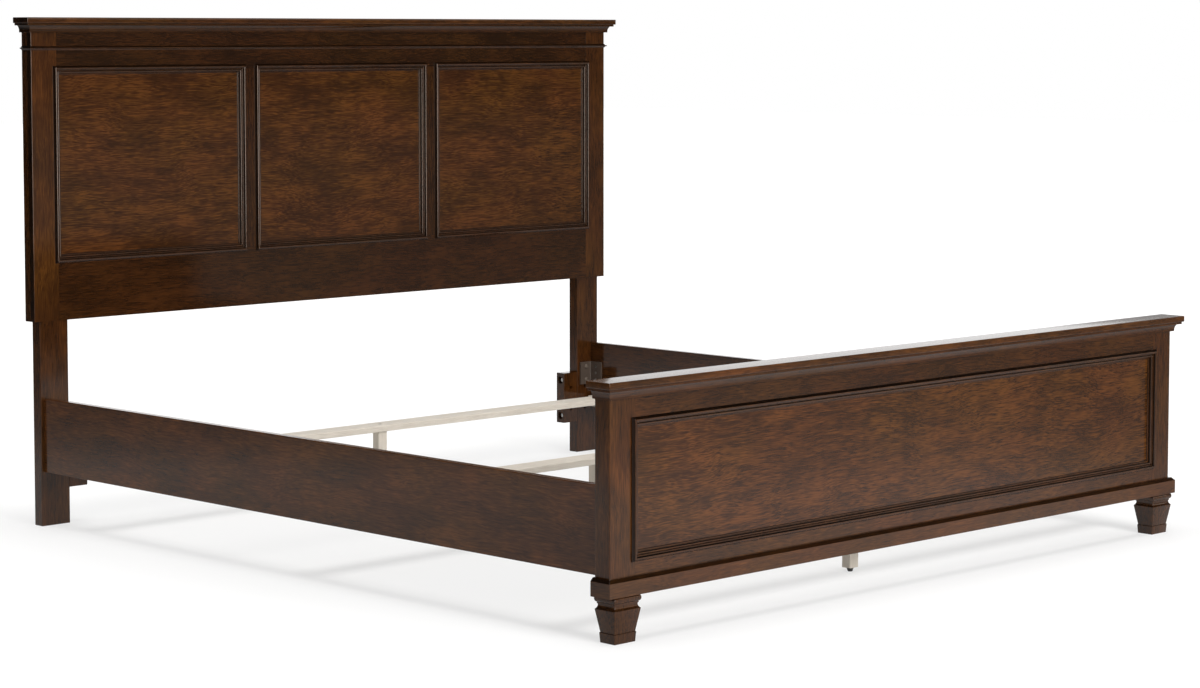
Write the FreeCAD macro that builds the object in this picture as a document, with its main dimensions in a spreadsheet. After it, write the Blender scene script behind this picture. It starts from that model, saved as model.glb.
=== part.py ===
"""A king-size panel bed in dark stained wood, in millimetres.

The headboard is a framed wall of three panels on two legs, the footboard a low frame of
one long panel on two shaped feet. Two side rails hang between them on steel angles, and
three cross slats rest on ledgers, each with a support leg and a levelling glide.

The origin is on the floor under the middle of the bed, +Y points to the headboard and
+Z up. Right means +X. Most pieces are built on the right and mirrored to the left.
"""
import FreeCAD, Part
import math
import os
import Sketcher

doc = FreeCAD.newDocument("panel_bed")
sheet = doc.addObject("Spreadsheet::Sheet", "sizes")

SIZES = (
    # the space for the mattress
    ("well_width", 1976, "clear width between the side rails"),
    ("well_length", 2060, "from the headboard legs to the footboard"),
    # side rails
    ("rail_thick", 20, "side rail thickness"),
    ("rail_low", 142, "underside of the side rails above the floor"),
    ("rail_height", 194, "height of a side rail"),
    ("rail_inset", 9, "rail face behind the outer side of leg and post"),
    ("rail_gap", 0.5, "play at each end of a rail"),
    # headboard legs and their blocks
    ("leg_width", 87, "headboard leg, across the bed"),
    ("leg_thick", 33, "headboard leg, along the bed"),
    ("block_width", 56, "block beside the foot of a leg"),
    ("block_low", 95, "underside of the block"),
    ("block_height", 153, "height of the block"),
    ("frame_hole_radius", 4.5, "bolt holes for a metal bed frame"),
    ("frame_hole_across", 59, "those holes, spacing across"),
    ("frame_hole_up", 67, "those holes, spacing upward"),
    ("frame_hole_inset", 3.5, "their middle, outward from the leg's inner edge"),
    ("frame_hole_height", 169.5, "their middle above the floor"),
    # headboard frame
    ("head_low", 538, "underside of the headboard frame"),
    ("head_bottom_rail", 161, "height of the bottom rail"),
    ("head_opening", 491, "height of the three openings"),
    ("head_top_rail", 122, "height of the top rail, up to the cap"),
    ("frame_step", 8, "front of the frame ahead of the legs"),
    ("side_board", 21, "board that closes the side of the headboard"),
    ("stile_width", 78, "outer uprights of the headboard frame"),
    ("mullion_width", 54, "uprights between the panels"),
    ("back_lap", 20, "back rails reach past the opening by this"),
    # panels and the mouldings round them
    ("panel_set_back", 8, "panel face behind the frame face"),
    ("panel_thick", 9, "panel thickness"),
    ("panel_rebate", 8, "width of the rebate that holds a panel"),
    ("panel_play", 1, "play round a panel in its rebate"),
    ("moulding_lap", 11.5, "moulding laps onto its frame by this"),
    ("moulding_width", 23.3, "width of a panel moulding"),
    ("moulding_proud", 9, "outer bead stands before the frame by this"),
    ("moulding_bead", 3.75, "radius of the outer bead"),
    ("moulding_middle", 12.7, "crest of the middle bead over the panel"),
    ("moulding_middle_bead", 3.4, "radius of the middle bead"),
    ("moulding_middle_dip", 2.4, "grooves beside the middle bead, below its crest"),
    ("moulding_groove", 14, "second groove, from the outer edge"),
    ("moulding_inner_bead", 4.9, "radius of the inner bead"),
    ("moulding_inner_dip", 2.7, "groove beside the inner bead, below its crest"),
    ("moulding_edge", 2, "height of the moulding's inner edge"),
    # joints between the frame members
    ("tenon_thick", 5, "tenons of the headboard frame"),
    ("foot_tenon_thick", 14, "tenons of the footboard frame"),
    ("tenon_length", 25, "how far a tenon enters"),
    ("tenon_shoulder", 12, "shoulder above and below a rail's tenon"),
    ("mullion_shoulder", 8, "shoulder each side of a mullion's tenon"),
    # caps and the mouldings on the frames
    ("cap_thick", 15, "thickness of a cap"),
    ("cap_overhang", 26, "overhang of a cap at the front and sides"),
    ("cap_ease", 2, "rounding of a cap's edges"),
    ("crown_step", 6, "height of the flat under the cap"),
    ("crown_step_out", 21, "that flat stands out by this"),
    ("crown_cove_out", 13, "top of the cove stands out by this"),
    ("crown_cove_height", 18, "from the crown's lower edge to the top of the cove"),
    ("crown_lip", 3, "height of the upright lip under the cove"),
    ("crown_lip_out", 7.5, "that lip stands out by this"),
    ("crown_cove_radius", 22, "radius of the cove"),
    ("bead_drop", 59, "from the cap down to the thin bead"),
    ("bead_nose", 1.5, "radius of the bead's round nose"),
    ("bead_neck", 5.2, "the nose begins this far out"),
    ("bead_edge", 1, "thickness of the bead's strip at its edges"),
    ("bead_flare", 4, "height of the hollow on each side of the nose"),
    ("bead_hollow", 5, "radius of those hollows"),
    # footboard
    ("foot_thick", 45, "thickness of the footboard frame"),
    ("post_width", 76, "uprights of the footboard"),
    ("foot_bottom_rail", 80, "height of the bottom rail"),
    ("foot_opening", 286, "height of the opening"),
    ("foot_top_rail", 78, "height of the top rail, up to the cap"),
    ("base_out", 13, "base moulding stands out by this"),
    ("base_height", 40, "height of the base moulding"),
    ("base_flat", 32.5, "height of its upright face"),
    ("base_lip", 6, "width of the flat ledge over its bevel"),
    # footboard feet
    ("foot_height", 101, "height of a foot"),
    ("foot_width", 81, "foot at its shoulder, across the bed"),
    ("foot_depth", 63, "foot at its shoulder, along the bed"),
    ("foot_inset", 2, "foot behind the outer side of the post"),
    ("foot_taper", 9.3, "depth of the foot's profile on each side"),
    ("foot_ring", 8, "radius of the ring at the top"),
    ("foot_hollow", 11, "radius of the hollow under the ring"),
    # ledgers, cross slats and support legs
    ("ledger_width", 22, "ledger under the slats"),
    ("ledger_height", 31, "height of the ledger"),
    ("ledger_short", 12, "ledger stops short of leg and post"),
    ("slat_width", 70, "width of a cross slat"),
    ("slat_thick", 17, "thickness of a cross slat"),
    ("slat_gap", 2, "play at each end of a slat"),
    ("slat_margin", 162, "outer slats' middle, from leg and footboard"),
    ("support_width", 31, "support leg, across the bed"),
    ("support_depth", 26, "support leg, along the bed"),
    ("edge_ease", 2, "rounding of the worked edges"),
    # levelling glides
    ("glide_height", 10, "height of a glide's pad"),
    ("glide_top_radius", 9, "pad radius at the leg"),
    ("glide_floor_radius", 6, "pad radius on the floor"),
    ("glide_ease", 3, "rounding of the pad at the floor"),
    ("glide_gap", 0.3, "air between the pad and the leg"),
    ("stem_radius", 4, "glide's screw stem"),
    ("stem_length", 32, "length of that stem"),
    ("stem_play", 0.05, "running clearance of the stem in its insert"),
    ("stem_room", 0.75, "air round the stem in the support leg"),
    ("insert_radius", 6, "outside of the threaded insert"),
    ("insert_length", 16, "length of that insert"),
    # steel angles
    ("angle_thick", 5, "steel of an angle"),
    ("angle_bend", 8, "outer radius of its fold"),
    ("angle_leg_flange", 47, "flange on the leg or post"),
    ("angle_rail_flange", 50, "flange on the rail"),
    ("angle_low", 209, "underside of an angle"),
    ("angle_height", 68, "height of an angle"),
    ("angle_margin", 14, "outer fasteners from the ends of an angle"),
    # fasteners
    ("bolt_radius", 3, "bolts that hold angles, blocks and supports"),
    ("bolt_head_radius", 7, "heads of those bolts"),
    ("bolt_head_height", 4, "height of those heads"),
    ("bolt_grip", 24, "how far a bolt enters the piece behind"),
    ("counterbore_radius", 11, "pockets for the block bolts"),
    ("counterbore_depth", 12, "depth of those pockets"),
    ("block_bolt_margin", 22, "block bolts from the ends of the block"),
    ("support_bolt_length", 60, "bolt down through slat and support leg"),
    ("screw_radius", 2, "wood screws"),
    ("screw_head_radius", 4.5, "heads of the wood screws"),
    ("screw_head_height", 2.5, "height of those heads"),
    ("screw_grip", 13, "how far a screw enters the piece behind"),
    ("foot_bolt_radius", 5, "hanger bolt between post and foot"),
    ("foot_bolt_half", 45, "length of that bolt in each of the two"),
    ("overrun", 1, "cutters run past the wood by this"),
)


class Size:
    """A length that knows its number and the sheet expression that gives it."""

    def __init__(self, text, number):
        self.text = text
        self.number = number

    def __add__(self, other):
        other = as_size(other)
        return Size(f"({self.text} + {other.text})", self.number + other.number)

    def __sub__(self, other):
        other = as_size(other)
        return Size(f"({self.text} - {other.text})", self.number - other.number)

    def __mul__(self, factor):
        return Size(f"({self.text} * {factor})", self.number * factor)

    def __truediv__(self, factor):
        return Size(f"({self.text} / {factor})", self.number / factor)

    def __neg__(self):
        return Size(f"(0 - {self.text})", -self.number)


def as_size(value):
    """The value itself, or a plain zero or count as a Size."""
    if isinstance(value, Size):
        return value
    return Size(str(value), value)


class Named:
    """Holds every driving size under its own name."""


size = Named()
for row, (alias, number, meaning) in enumerate(SIZES, start=1):
    sheet.set(f"A{row}", meaning)
    sheet.set(f"B{row}", str(number))
    sheet.setAlias(f"B{row}", alias)
doc.recompute()
for alias, number, meaning in SIZES:
    setattr(size, alias, Size(f"sizes.{alias}", float(getattr(sheet, alias))))

parts = []


def bind(thing, **values):
    """Tie properties of a thing to the sheet."""
    for name, value in values.items():
        thing.setExpression(name, as_size(value).text)
    return thing


NO_TURN = FreeCAD.Rotation()
ALONG_X = FreeCAD.Vector(1, 0, 0)
ALONG_Y = FreeCAD.Vector(0, 1, 0)
ALONG_Z = FreeCAD.Vector(0, 0, 1)
TOWARDS = {
    "+x": FreeCAD.Rotation(ALONG_Y, 90),
    "-x": FreeCAD.Rotation(ALONG_Y, -90),
    "+y": FreeCAD.Rotation(ALONG_X, -90),
    "-y": FreeCAD.Rotation(ALONG_X, 90),
    "+z": NO_TURN,
    "-z": FreeCAD.Rotation(ALONG_X, 180),
}


def place(thing, at, turn=NO_TURN):
    """Put a thing's own origin at a point, turned as asked."""
    thing.Placement = FreeCAD.Placement(FreeCAD.Vector(), turn)
    for axis, value in zip("xyz", at):
        thing.setExpression(f"Placement.Base.{axis}", as_size(value).text)
    return thing


def keep(thing):
    """Count a thing as one of the bed's pieces."""
    parts.append(thing)
    return thing


def block(name, across, along, up):
    """A square-edged solid between two faces along each axis."""
    solid = doc.addObject("Part::Box", name)
    bind(solid, Length=across[1] - across[0], Width=along[1] - along[0], Height=up[1] - up[0])
    return place(solid, (across[0], along[0], up[0]))


def bore(name, radius, length, at, towards):
    """A round cutter that starts at a point and runs the given way."""
    solid = doc.addObject("Part::Cylinder", name)
    bind(solid, Radius=radius, Height=length)
    return place(solid, at, TOWARDS[towards])


def fuse(name, pieces):
    """One solid made of several that meet."""
    solid = doc.addObject("Part::MultiFuse", name)
    solid.Shapes = pieces
    return solid


def cut(name, blank, cutters):
    """A blank less its cutters."""
    solid = doc.addObject("Part::Cut", name)
    solid.Base = blank
    solid.Tool = cutters[0] if len(cutters) == 1 else fuse(f"{name}_cutters", cutters)
    return solid


def group(name, pieces):
    """Separate solids that share a node."""
    solid = doc.addObject("Part::Compound", name)
    solid.Links = pieces
    return solid


def mirrored(name, source, axis=ALONG_X, at=0):
    """The twin of a piece on the other side of a middle plane."""
    twin = doc.addObject("Part::Mirroring", name)
    twin.Source = source
    twin.Normal = axis
    for letter in "xyz":
        share = getattr(axis, letter)
        twin.setExpression(f"Base.{letter}", (as_size(at) * share).text)
    return twin


def arc_between(here, there, radius):
    """The arc of a radius between two points, under half a circle."""
    chord = there - here
    rise = math.sqrt(radius ** 2 - (chord.Length / 2) ** 2)
    left = FreeCAD.Vector(-chord.y, chord.x, 0).normalize()
    swells = radius > 0
    centre = (here + there) / 2 + left * (rise if swells else -rise)
    first, last = (here, there) if swells else (there, here)
    circle = Part.Circle(centre, ALONG_Z, abs(radius))
    return Part.ArcOfCircle(circle, circle.parameter(first), circle.parameter(last))


def pin(sketch, constraint, name, value):
    """Add a constraint whose value comes from the sheet."""
    number = sketch.addConstraint(constraint)
    sketch.renameConstraint(number, name)
    sketch.setExpression(f"Constraints.{name}", value.text)


def draw(sketch, corners):
    """Draw a closed outline through corners in anticlockwise order.

    A corner is (across, up) or (across, up, radius). With a radius, the edge that leaves
    the corner is an arc: it swells out of the shape where the radius is positive, and
    hollows into it where the radius is negative.
    """
    corners = [tuple(as_size(value) for value in corner) for corner in corners]
    points = [FreeCAD.Vector(corner[0].number, corner[1].number, 0) for corner in corners]
    starts = []
    ends = []
    for index, corner in enumerate(corners):
        here = points[index]
        there = points[(index + 1) % len(points)]
        if len(corner) == 2:
            edge = sketch.addGeometry(Part.LineSegment(here, there))
            first, last = 1, 2
        else:
            radius = corner[2]
            edge = sketch.addGeometry(arc_between(here, there, radius.number))
            first, last = (1, 2) if radius.number > 0 else (2, 1)
            length = radius if radius.number > 0 else -radius
            pin(sketch, Sketcher.Constraint("Radius", edge, length.number), f"bend{index}", length)
        starts.append((edge, first))
        ends.append((edge, last))
    for index, corner in enumerate(corners):
        sketch.addConstraint(Sketcher.Constraint("Coincident", *ends[index - 1], *starts[index]))
        across = Sketcher.Constraint("DistanceX", -1, 1, *starts[index], corner[0].number)
        upward = Sketcher.Constraint("DistanceY", -1, 1, *starts[index], corner[1].number)
        pin(sketch, across, f"across{index}", corner[0])
        pin(sketch, upward, f"up{index}", corner[1])
    return sketch


def extruded(name, corners, length, turn=NO_TURN, at=(0, 0, 0)):
    """An outline drawn on a plane of its own, carried square to that plane."""
    sketch = draw(doc.addObject("Sketcher::SketchObject", f"{name}_outline"), corners)
    place(sketch, at, turn)
    solid = doc.addObject("Part::Extrusion", name)
    solid.Base = sketch
    solid.DirMode = "Normal"
    solid.Solid = True
    return bind(solid, LengthFwd=length)


def body_sketch(body, role, corners):
    """An outline on one of a body's own origin planes."""
    sketch = body.newObject("Sketcher::SketchObject", f"{body.Name}_outline")
    plane = next(item for item in body.Origin.OriginFeatures if item.Role == role)
    sketch.AttachmentSupport = (plane, [""])
    sketch.MapMode = "FlatFace"
    return draw(sketch, corners)


def eased_board(name, across, along, up, radius, worked):
    """A board with rounded edges, its low corner at its own origin.

    worked says which edges are rounded, from where an edge's middle lies on the board:
    0, 0.5 or 1 across, along and up.
    """
    body = doc.addObject("PartDesign::Body", name)
    width = across[1] - across[0]
    depth = along[1] - along[0]
    outline = body_sketch(body, "XY_Plane", [(0, 0), (width, 0), (width, depth), (0, depth)])
    pad = body.newObject("PartDesign::Pad", f"{name}_pad")
    pad.Profile = outline
    bind(pad, Length=up[1] - up[0])
    doc.recompute()
    box = pad.Shape.BoundBox
    edges = []
    for number, edge in enumerate(pad.Shape.Edges, start=1):
        middle = edge.CenterOfMass
        shares = (middle.x / box.XMax, middle.y / box.YMax, middle.z / box.ZMax)
        if worked(*(round(share, 3) for share in shares)):
            edges.append(f"Edge{number}")
    fillet = body.newObject("PartDesign::Fillet", f"{name}_eased")
    fillet.Base = (pad, edges)
    bind(fillet, Radius=radius)
    return place(body, (across[0], along[0], up[0]))


def turned(name, corners):
    """A round piece about its own Z axis, from half of its section."""
    body = doc.addObject("PartDesign::Body", name)
    outline = body_sketch(body, "XZ_Plane", corners)
    revolution = body.newObject("PartDesign::Revolution", f"{name}_turning")
    revolution.Profile = outline
    revolution.ReferenceAxis = (outline, ["V_Axis"])
    revolution.Angle = 360
    return body


# Main planes across the bed, on the right
rail_in = size.well_width / 2
rail_out = rail_in + size.rail_thick
leg_out = rail_out + size.rail_inset
leg_in = leg_out - size.leg_width
head_out = leg_out + size.side_board
stile_in = head_out - size.stile_width
post_in = leg_out - size.post_width

# Main planes along the bed
frame_thick = size.panel_set_back + size.panel_thick
head_back = (size.leg_thick + size.well_length + size.foot_thick + size.cap_overhang) / 2
leg_front = head_back - size.leg_thick
frame_front = leg_front - size.frame_step
frame_back = frame_front + frame_thick
foot_back = leg_front - size.well_length
foot_front = foot_back - size.foot_thick
well_middle = (leg_front + foot_back) / 2

# Main heights
head_open_low = size.head_low + size.head_bottom_rail
head_open_top = head_open_low + size.head_opening
head_top = head_open_top + size.head_top_rail
foot_open_low = size.foot_height + size.foot_bottom_rail
foot_open_top = foot_open_low + size.foot_opening
foot_top = foot_open_top + size.foot_top_rail
slat_low = size.rail_low + size.ledger_height
slat_top = slat_low + size.slat_thick
block_top = size.block_low + size.block_height

# Sections of the mouldings, drawn outward from the wood that they lie on
PROFILE_PLANE = FreeCAD.Rotation(ALONG_Y, ALONG_Z, ALONG_X, "ZXY")


def panel_moulding_section():
    """Bolection section of three beads that step down to the panel.

    Each point is across from the moulding's outer edge and up from the panel's face.
    """
    crest = size.panel_set_back + size.moulding_proud
    spring = crest - size.moulding_bead
    first_groove = size.moulding_bead * 2
    middle_low = size.moulding_middle - size.moulding_middle_dip
    inner_crest = size.moulding_edge + size.moulding_inner_bead
    return [
        (size.moulding_lap, 0),
        (size.moulding_width, 0),
        (size.moulding_width, size.moulding_edge, size.moulding_inner_bead),
        (size.moulding_width - size.moulding_inner_bead, inner_crest, size.moulding_inner_bead),
        (size.moulding_groove, inner_crest - size.moulding_inner_dip),
        (size.moulding_groove, middle_low, size.moulding_middle_bead),
        (
            (first_groove + size.moulding_groove) / 2,
            size.moulding_middle,
            size.moulding_middle_bead,
        ),
        (first_groove, middle_low),
        (first_groove, spring, size.moulding_bead),
        (size.moulding_bead, crest, size.moulding_bead),
        (0, spring),
        (0, size.panel_set_back),
        (size.moulding_lap, size.panel_set_back),
    ]


def crown_section():
    """A lip, a cove and a flat that stands out, up to the underside of the cap."""
    crown_height = size.crown_cove_height + size.crown_step
    return [
        (0, 0),
        (size.crown_lip_out, 0),
        (size.crown_lip_out, size.crown_lip, -size.crown_cove_radius),
        (size.crown_cove_out, size.crown_cove_height),
        (size.crown_step_out, size.crown_cove_height),
        (size.crown_step_out, crown_height),
        (0, crown_height),
    ]


bead_out = size.bead_neck + size.bead_nose
bead_height = (size.bead_flare + size.bead_nose) * 2


def bead_section():
    """A thin strip that rises in a hollow from each edge to a round nose."""
    nose_top = size.bead_flare + size.bead_nose * 2
    return [
        (0, 0),
        (size.bead_edge, 0, -size.bead_hollow),
        (size.bead_neck, size.bead_flare, size.bead_nose),
        (bead_out, bead_height / 2, size.bead_nose),
        (size.bead_neck, nose_top, -size.bead_hollow),
        (size.bead_edge, bead_height),
        (0, bead_height),
    ]


def base_section():
    """An upright face, a bevel over it and a narrow ledge."""
    return [
        (0, 0),
        (size.base_out, 0),
        (size.base_out, size.base_flat),
        (size.base_lip, size.base_height),
        (0, size.base_height),
    ]


def stick(name, section, length, reach, rise, mitres):
    """A length of moulding along its own X, across Y and up Z.

    mitres gives the slope of each end: 1 longer on the outer edge, -1 shorter, 0 square.
    """
    start, end = mitres
    strip = extruded(f"{name}_strip", section, length + reach * 2, PROFILE_PLANE, (-reach, 0, 0))
    plan = [(0, 0), (length, 0), (length + reach * end, reach), (-reach * start, reach)]
    limits = extruded(f"{name}_mitres", plan, rise)
    solid = doc.addObject("Part::Common", name)
    solid.Base = strip
    solid.Tool = limits
    return solid


def wrapped_moulding(name, section, reach, rise, side, front, back, low):
    """Three mitred lengths: round the front and both sides of a frame."""
    depth = back - front
    turn = FreeCAD.Rotation
    front_stick = stick(f"{name}_front", section(), side * 2, reach, rise, (1, 1))
    right_stick = stick(f"{name}_right", section(), depth, reach, rise, (0, 1))
    left_stick = stick(f"{name}_left", section(), depth, reach, rise, (1, 0))
    place(front_stick, (side, front, low), turn(ALONG_Z, 180))
    place(right_stick, (side, back, low), turn(ALONG_Z, -90))
    place(left_stick, (-side, front, low), turn(ALONG_Z, 90))
    return keep(group(name, [front_stick, right_stick, left_stick]))


def framed_moulding(name, across, panel_face, up):
    """Four mitred lengths round an opening, lapping onto its frame."""
    lap = size.moulding_lap
    low, high = across[0] - lap, across[1] + lap
    bottom, top = up[0] - lap, up[1] + lap
    rise = size.panel_set_back + size.moulding_proud
    sides = (
        ("bottom", high - low, (low, panel_face, bottom), (ALONG_X, ALONG_Z)),
        ("right", top - bottom, (high, panel_face, bottom), (ALONG_Z, -ALONG_X)),
        ("top", high - low, (high, panel_face, top), (-ALONG_X, -ALONG_Z)),
        ("left", top - bottom, (low, panel_face, top), (-ALONG_Z, ALONG_X)),
    )
    sticks = []
    for side, length, at, (run, inward) in sides:
        section = panel_moulding_section()
        one = stick(f"{name}_{side}", section, length, size.moulding_width, rise, (-1, -1))
        sticks.append(place(one, at, FreeCAD.Rotation(run, inward, run.cross(inward), "ZXY")))
    return keep(group(name, sticks))


def bolt_outline(radius, length, head_radius, head_height):
    """A domed head above zero and a plain shank below it."""
    dome_edge = head_height / 2
    return [
        (0, -length),
        (radius, -length),
        (radius, 0),
        (head_radius, 0),
        (head_radius, dome_edge),
        (radius, head_height),
        (0, head_height),
    ]


def bolt(name, length, at, towards):
    """A bolt whose head bears at a point and whose shank runs the given way."""
    outline = bolt_outline(size.bolt_radius, length, size.bolt_head_radius, size.bolt_head_height)
    opposite = {"+": "-", "-": "+"}[towards[0]] + towards[1]
    return place(turned(name, outline), at, TOWARDS[opposite])


def screw_outline(length):
    """A flat countersunk head, flush at zero, and a shank below it."""
    return [
        (0, -length),
        (size.screw_radius, -length),
        (size.screw_radius, -size.screw_head_height),
        (size.screw_head_radius, 0),
        (0, 0),
    ]


def screw(name, length, at, towards):
    """A countersunk screw, flush at a point, whose shank runs the given way."""
    opposite = {"+": "-", "-": "+"}[towards[0]] + towards[1]
    return place(turned(name, screw_outline(length)), at, TOWARDS[opposite])


# Places of the fasteners that more than one piece is drilled for
angle_bolt_x = rail_in - size.angle_leg_flange / 2
angle_bolt_heights = (
    size.angle_low + size.angle_margin,
    size.angle_low + size.angle_height - size.angle_margin,
)
angle_screw_heights = (
    angle_bolt_heights[0],
    size.angle_low + size.angle_height / 2,
    angle_bolt_heights[1],
)
angle_screw_y = leg_front - size.angle_rail_flange / 2 - size.angle_thick / 2
block_bolt_heights = (
    size.block_low + size.block_bolt_margin,
    block_top - size.block_bolt_margin,
)
block_bolt_y = (leg_front + head_back) / 2
leg_screw_x = (stile_in + size.tenon_length + leg_out) / 2
leg_screw_heights = (
    (size.head_low + head_open_low) / 2,
    (head_open_low + head_open_top) / 2,
    (head_open_top + head_top) / 2,
)
frame_hole_x = leg_in + size.frame_hole_inset
slat_places = (
    ("head", leg_front - size.slat_margin),
    ("middle", well_middle),
    ("foot", foot_back + size.slat_margin),
)
slat_screw_x = rail_in - size.ledger_width / 2
foot_middle_x = leg_out - size.foot_inset - size.foot_width / 2
foot_middle_y = foot_front - size.base_out + size.foot_depth / 2
foot_bolt_x = (post_in + size.tenon_length + leg_out) / 2


def frame_holes(name, side):
    """Cutters for two of the four holes: side 1 in the leg, -1 in the block."""
    cutters = []
    for level in (-1, 1):
        x = frame_hole_x + size.frame_hole_across / 2 * side
        z = size.frame_hole_height + size.frame_hole_up / 2 * level
        start = (x, leg_front - size.overrun, z)
        length = size.leg_thick + size.overrun * 2
        cutters.append(bore(f"{name}_frame_hole", size.frame_hole_radius, length, start, "+y"))
    return cutters


# Headboard frame
opening_width = (stile_in * 2 - size.mullion_width * 2) / 3
opening_step = opening_width + size.mullion_width
panel_face = frame_front + size.panel_set_back
head_openings = (
    ("left", -opening_step),
    ("middle", as_size(0)),
    ("right", opening_step),
)


def panel_seat(name, across, along, up, shrink):
    """The space of an opening with its rebate, or of the panel in it."""
    edge = size.panel_rebate - shrink
    return block(name, (across[0] - edge, across[1] + edge), along, (up[0] - edge, up[1] + edge))


def head_opening_edges(middle):
    """Left and right edges of a headboard opening."""
    return (middle - opening_width / 2, middle + opening_width / 2)


head_open_heights = (head_open_low, head_open_top)
head_seats = []
for side, middle in head_openings:
    along = (panel_face, frame_back + size.overrun)
    edges = head_opening_edges(middle)
    head_seats.append(panel_seat(f"head_seat_{side}", edges, along, head_open_heights, 0))
    panel_along = (panel_face, frame_back)
    name = f"headboard_{side}_panel"
    keep(panel_seat(name, edges, panel_along, head_open_heights, size.panel_play))
    framed_moulding(f"headboard_{side}_panel_moulding", edges, panel_face, head_open_heights)

tenon_front = frame_front + (size.panel_set_back - size.tenon_thick) / 2
tenon_along = (tenon_front, tenon_front + size.tenon_thick)


def rail_tenon(name, shoulder_at, along, up, side):
    """A tenon at one end of a rail, between its two shoulders."""
    reach = shoulder_at + size.tenon_length
    across = (shoulder_at, reach) if side > 0 else (-reach, -shoulder_at)
    return block(name, across, along, (up[0] + size.tenon_shoulder, up[1] - size.tenon_shoulder))


def mullion_tenon(name, middle, start, end):
    """A tenon at one end of a mullion."""
    half = size.mullion_width / 2 - size.mullion_shoulder
    return block(name, (middle - half, middle + half), tenon_along, (start, end))


mullion_middles = {"left": -opening_step / 2, "right": opening_step / 2}
rail_heights = {
    "top": (head_open_top, head_top),
    "bottom": (size.head_low, head_open_low),
}
for level, heights in rail_heights.items():
    name = f"headboard_{level}_rail"
    pieces = [block(f"{name}_blank", (-stile_in, stile_in), (frame_front, frame_back), heights)]
    for side in (-1, 1):
        pieces.append(rail_tenon(f"{name}_tenon", stile_in, tenon_along, heights, side))
    if level == "top":
        mortise = (head_open_top, head_open_top + size.tenon_length)
    else:
        mortise = (head_open_low - size.tenon_length, head_open_low)
    mortises = [mullion_tenon(f"{name}_mortise", m, *mortise) for m in mullion_middles.values()]
    keep(cut(name, fuse(f"{name}_joined", pieces), head_seats + mortises))

for side, middle in mullion_middles.items():
    name = f"headboard_{side}_mullion"
    across = (middle - size.mullion_width / 2, middle + size.mullion_width / 2)
    tenon_reach = (head_open_low - size.tenon_length, head_open_top + size.tenon_length)
    pieces = [
        block(f"{name}_blank", across, (frame_front, frame_back), head_open_heights),
        mullion_tenon(f"{name}_tenon", middle, *tenon_reach),
    ]
    keep(cut(name, fuse(f"{name}_joined", pieces), head_seats))

stile_blank = eased_board(
    "headboard_right_stile_blank",
    (stile_in, head_out),
    (frame_front, frame_back),
    (size.head_low, head_top),
    size.edge_ease,
    lambda across, along, up: across == 1 and along == 0,
)
stile_cutters = list(head_seats)
for level, heights in rail_heights.items():
    name = f"headboard_{level}_mortise"
    stile_cutters.append(rail_tenon(name, stile_in, tenon_along, heights, 1))
for height in leg_screw_heights:
    start = (leg_screw_x, frame_back, height)
    stile_cutters.append(bore("stile_screw_hole", size.screw_radius, size.screw_grip, start, "-y"))
right_stile = keep(cut("headboard_right_stile", stile_blank, stile_cutters))
keep(mirrored("headboard_left_stile", right_stile))

# Boards behind the frame
right_side_board = keep(
    block(
        "headboard_right_side_board",
        (leg_out, head_out),
        (frame_back, head_back),
        (size.head_low, head_top),
    )
)
keep(mirrored("headboard_left_side_board", right_side_board))
keep(
    block(
        "headboard_back_top_rail",
        (-leg_in, leg_in),
        (frame_back, head_back),
        (head_open_top - size.back_lap, head_top),
    )
)
keep(
    block(
        "headboard_back_bottom_rail",
        (-leg_in, leg_in),
        (frame_back, head_back),
        (size.head_low, head_open_low + size.back_lap),
    )
)

# Headboard legs: full thickness below the frame, rebated behind it
leg_blank = eased_board(
    "headboard_right_leg_blank",
    (leg_in, leg_out),
    (leg_front, head_back),
    (as_size(0), head_top),
    size.edge_ease,
    lambda across, along, up: up == 0 or (along == 0 and up == 0.5),
)
leg_cutters = [
    block(
        "leg_rebate",
        (leg_in - size.overrun, leg_out + size.overrun),
        (leg_front - size.overrun, frame_back),
        (size.head_low, head_top + size.overrun),
    )
]
leg_cutters += frame_holes("leg", 1)
for height in angle_bolt_heights:
    start = (angle_bolt_x, leg_front, height)
    leg_cutters.append(bore("leg_angle_hole", size.bolt_radius, size.bolt_grip, start, "+y"))
for height in block_bolt_heights:
    start = (leg_in, block_bolt_y, height)
    leg_cutters.append(bore("leg_block_hole", size.bolt_radius, size.bolt_grip, start, "+x"))
leg_screw_length = head_back - frame_back + size.screw_grip
for height in leg_screw_heights:
    start = (leg_screw_x, head_back, height)
    leg_cutters.append(screw("leg_screw_hole", leg_screw_length, start, "-y"))
right_leg = keep(cut("headboard_right_leg", leg_blank, leg_cutters))
keep(mirrored("headboard_left_leg", right_leg))

leg_screws = []
for height in leg_screw_heights:
    start = (leg_screw_x, head_back, height)
    one = screw("leg_screw", leg_screw_length, start, "-y")
    leg_screws += [one, mirrored("leg_screw_twin", one)]
keep(group("headboard_leg_screws", leg_screws))

# Blocks beside the legs, and the bolts sunk in them
block_blank = eased_board(
    "right_leg_block_blank",
    (leg_in - size.block_width, leg_in),
    (leg_front, head_back),
    (size.block_low, block_top),
    size.edge_ease,
    lambda across, along, up: across == 0 or (across == 0.5 and along == 0),
)
block_face = leg_in - size.block_width
block_cutters = frame_holes("block", -1)
block_bolts = []
for height in block_bolt_heights:
    start = (block_face, block_bolt_y, height)
    seat = (block_face + size.counterbore_depth, block_bolt_y, height)
    depth = size.counterbore_depth
    shank = size.block_width - depth
    block_cutters.append(bore("block_pocket", size.counterbore_radius, depth, start, "+x"))
    block_cutters.append(bore("block_hole", size.bolt_radius, shank, seat, "+x"))
    one = bolt("block_bolt", shank + size.bolt_grip, seat, "+x")
    block_bolts += [one, mirrored("block_bolt_twin", one)]
right_block = keep(cut("right_leg_block", block_blank, block_cutters))
keep(mirrored("left_leg_block", right_block))
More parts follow.
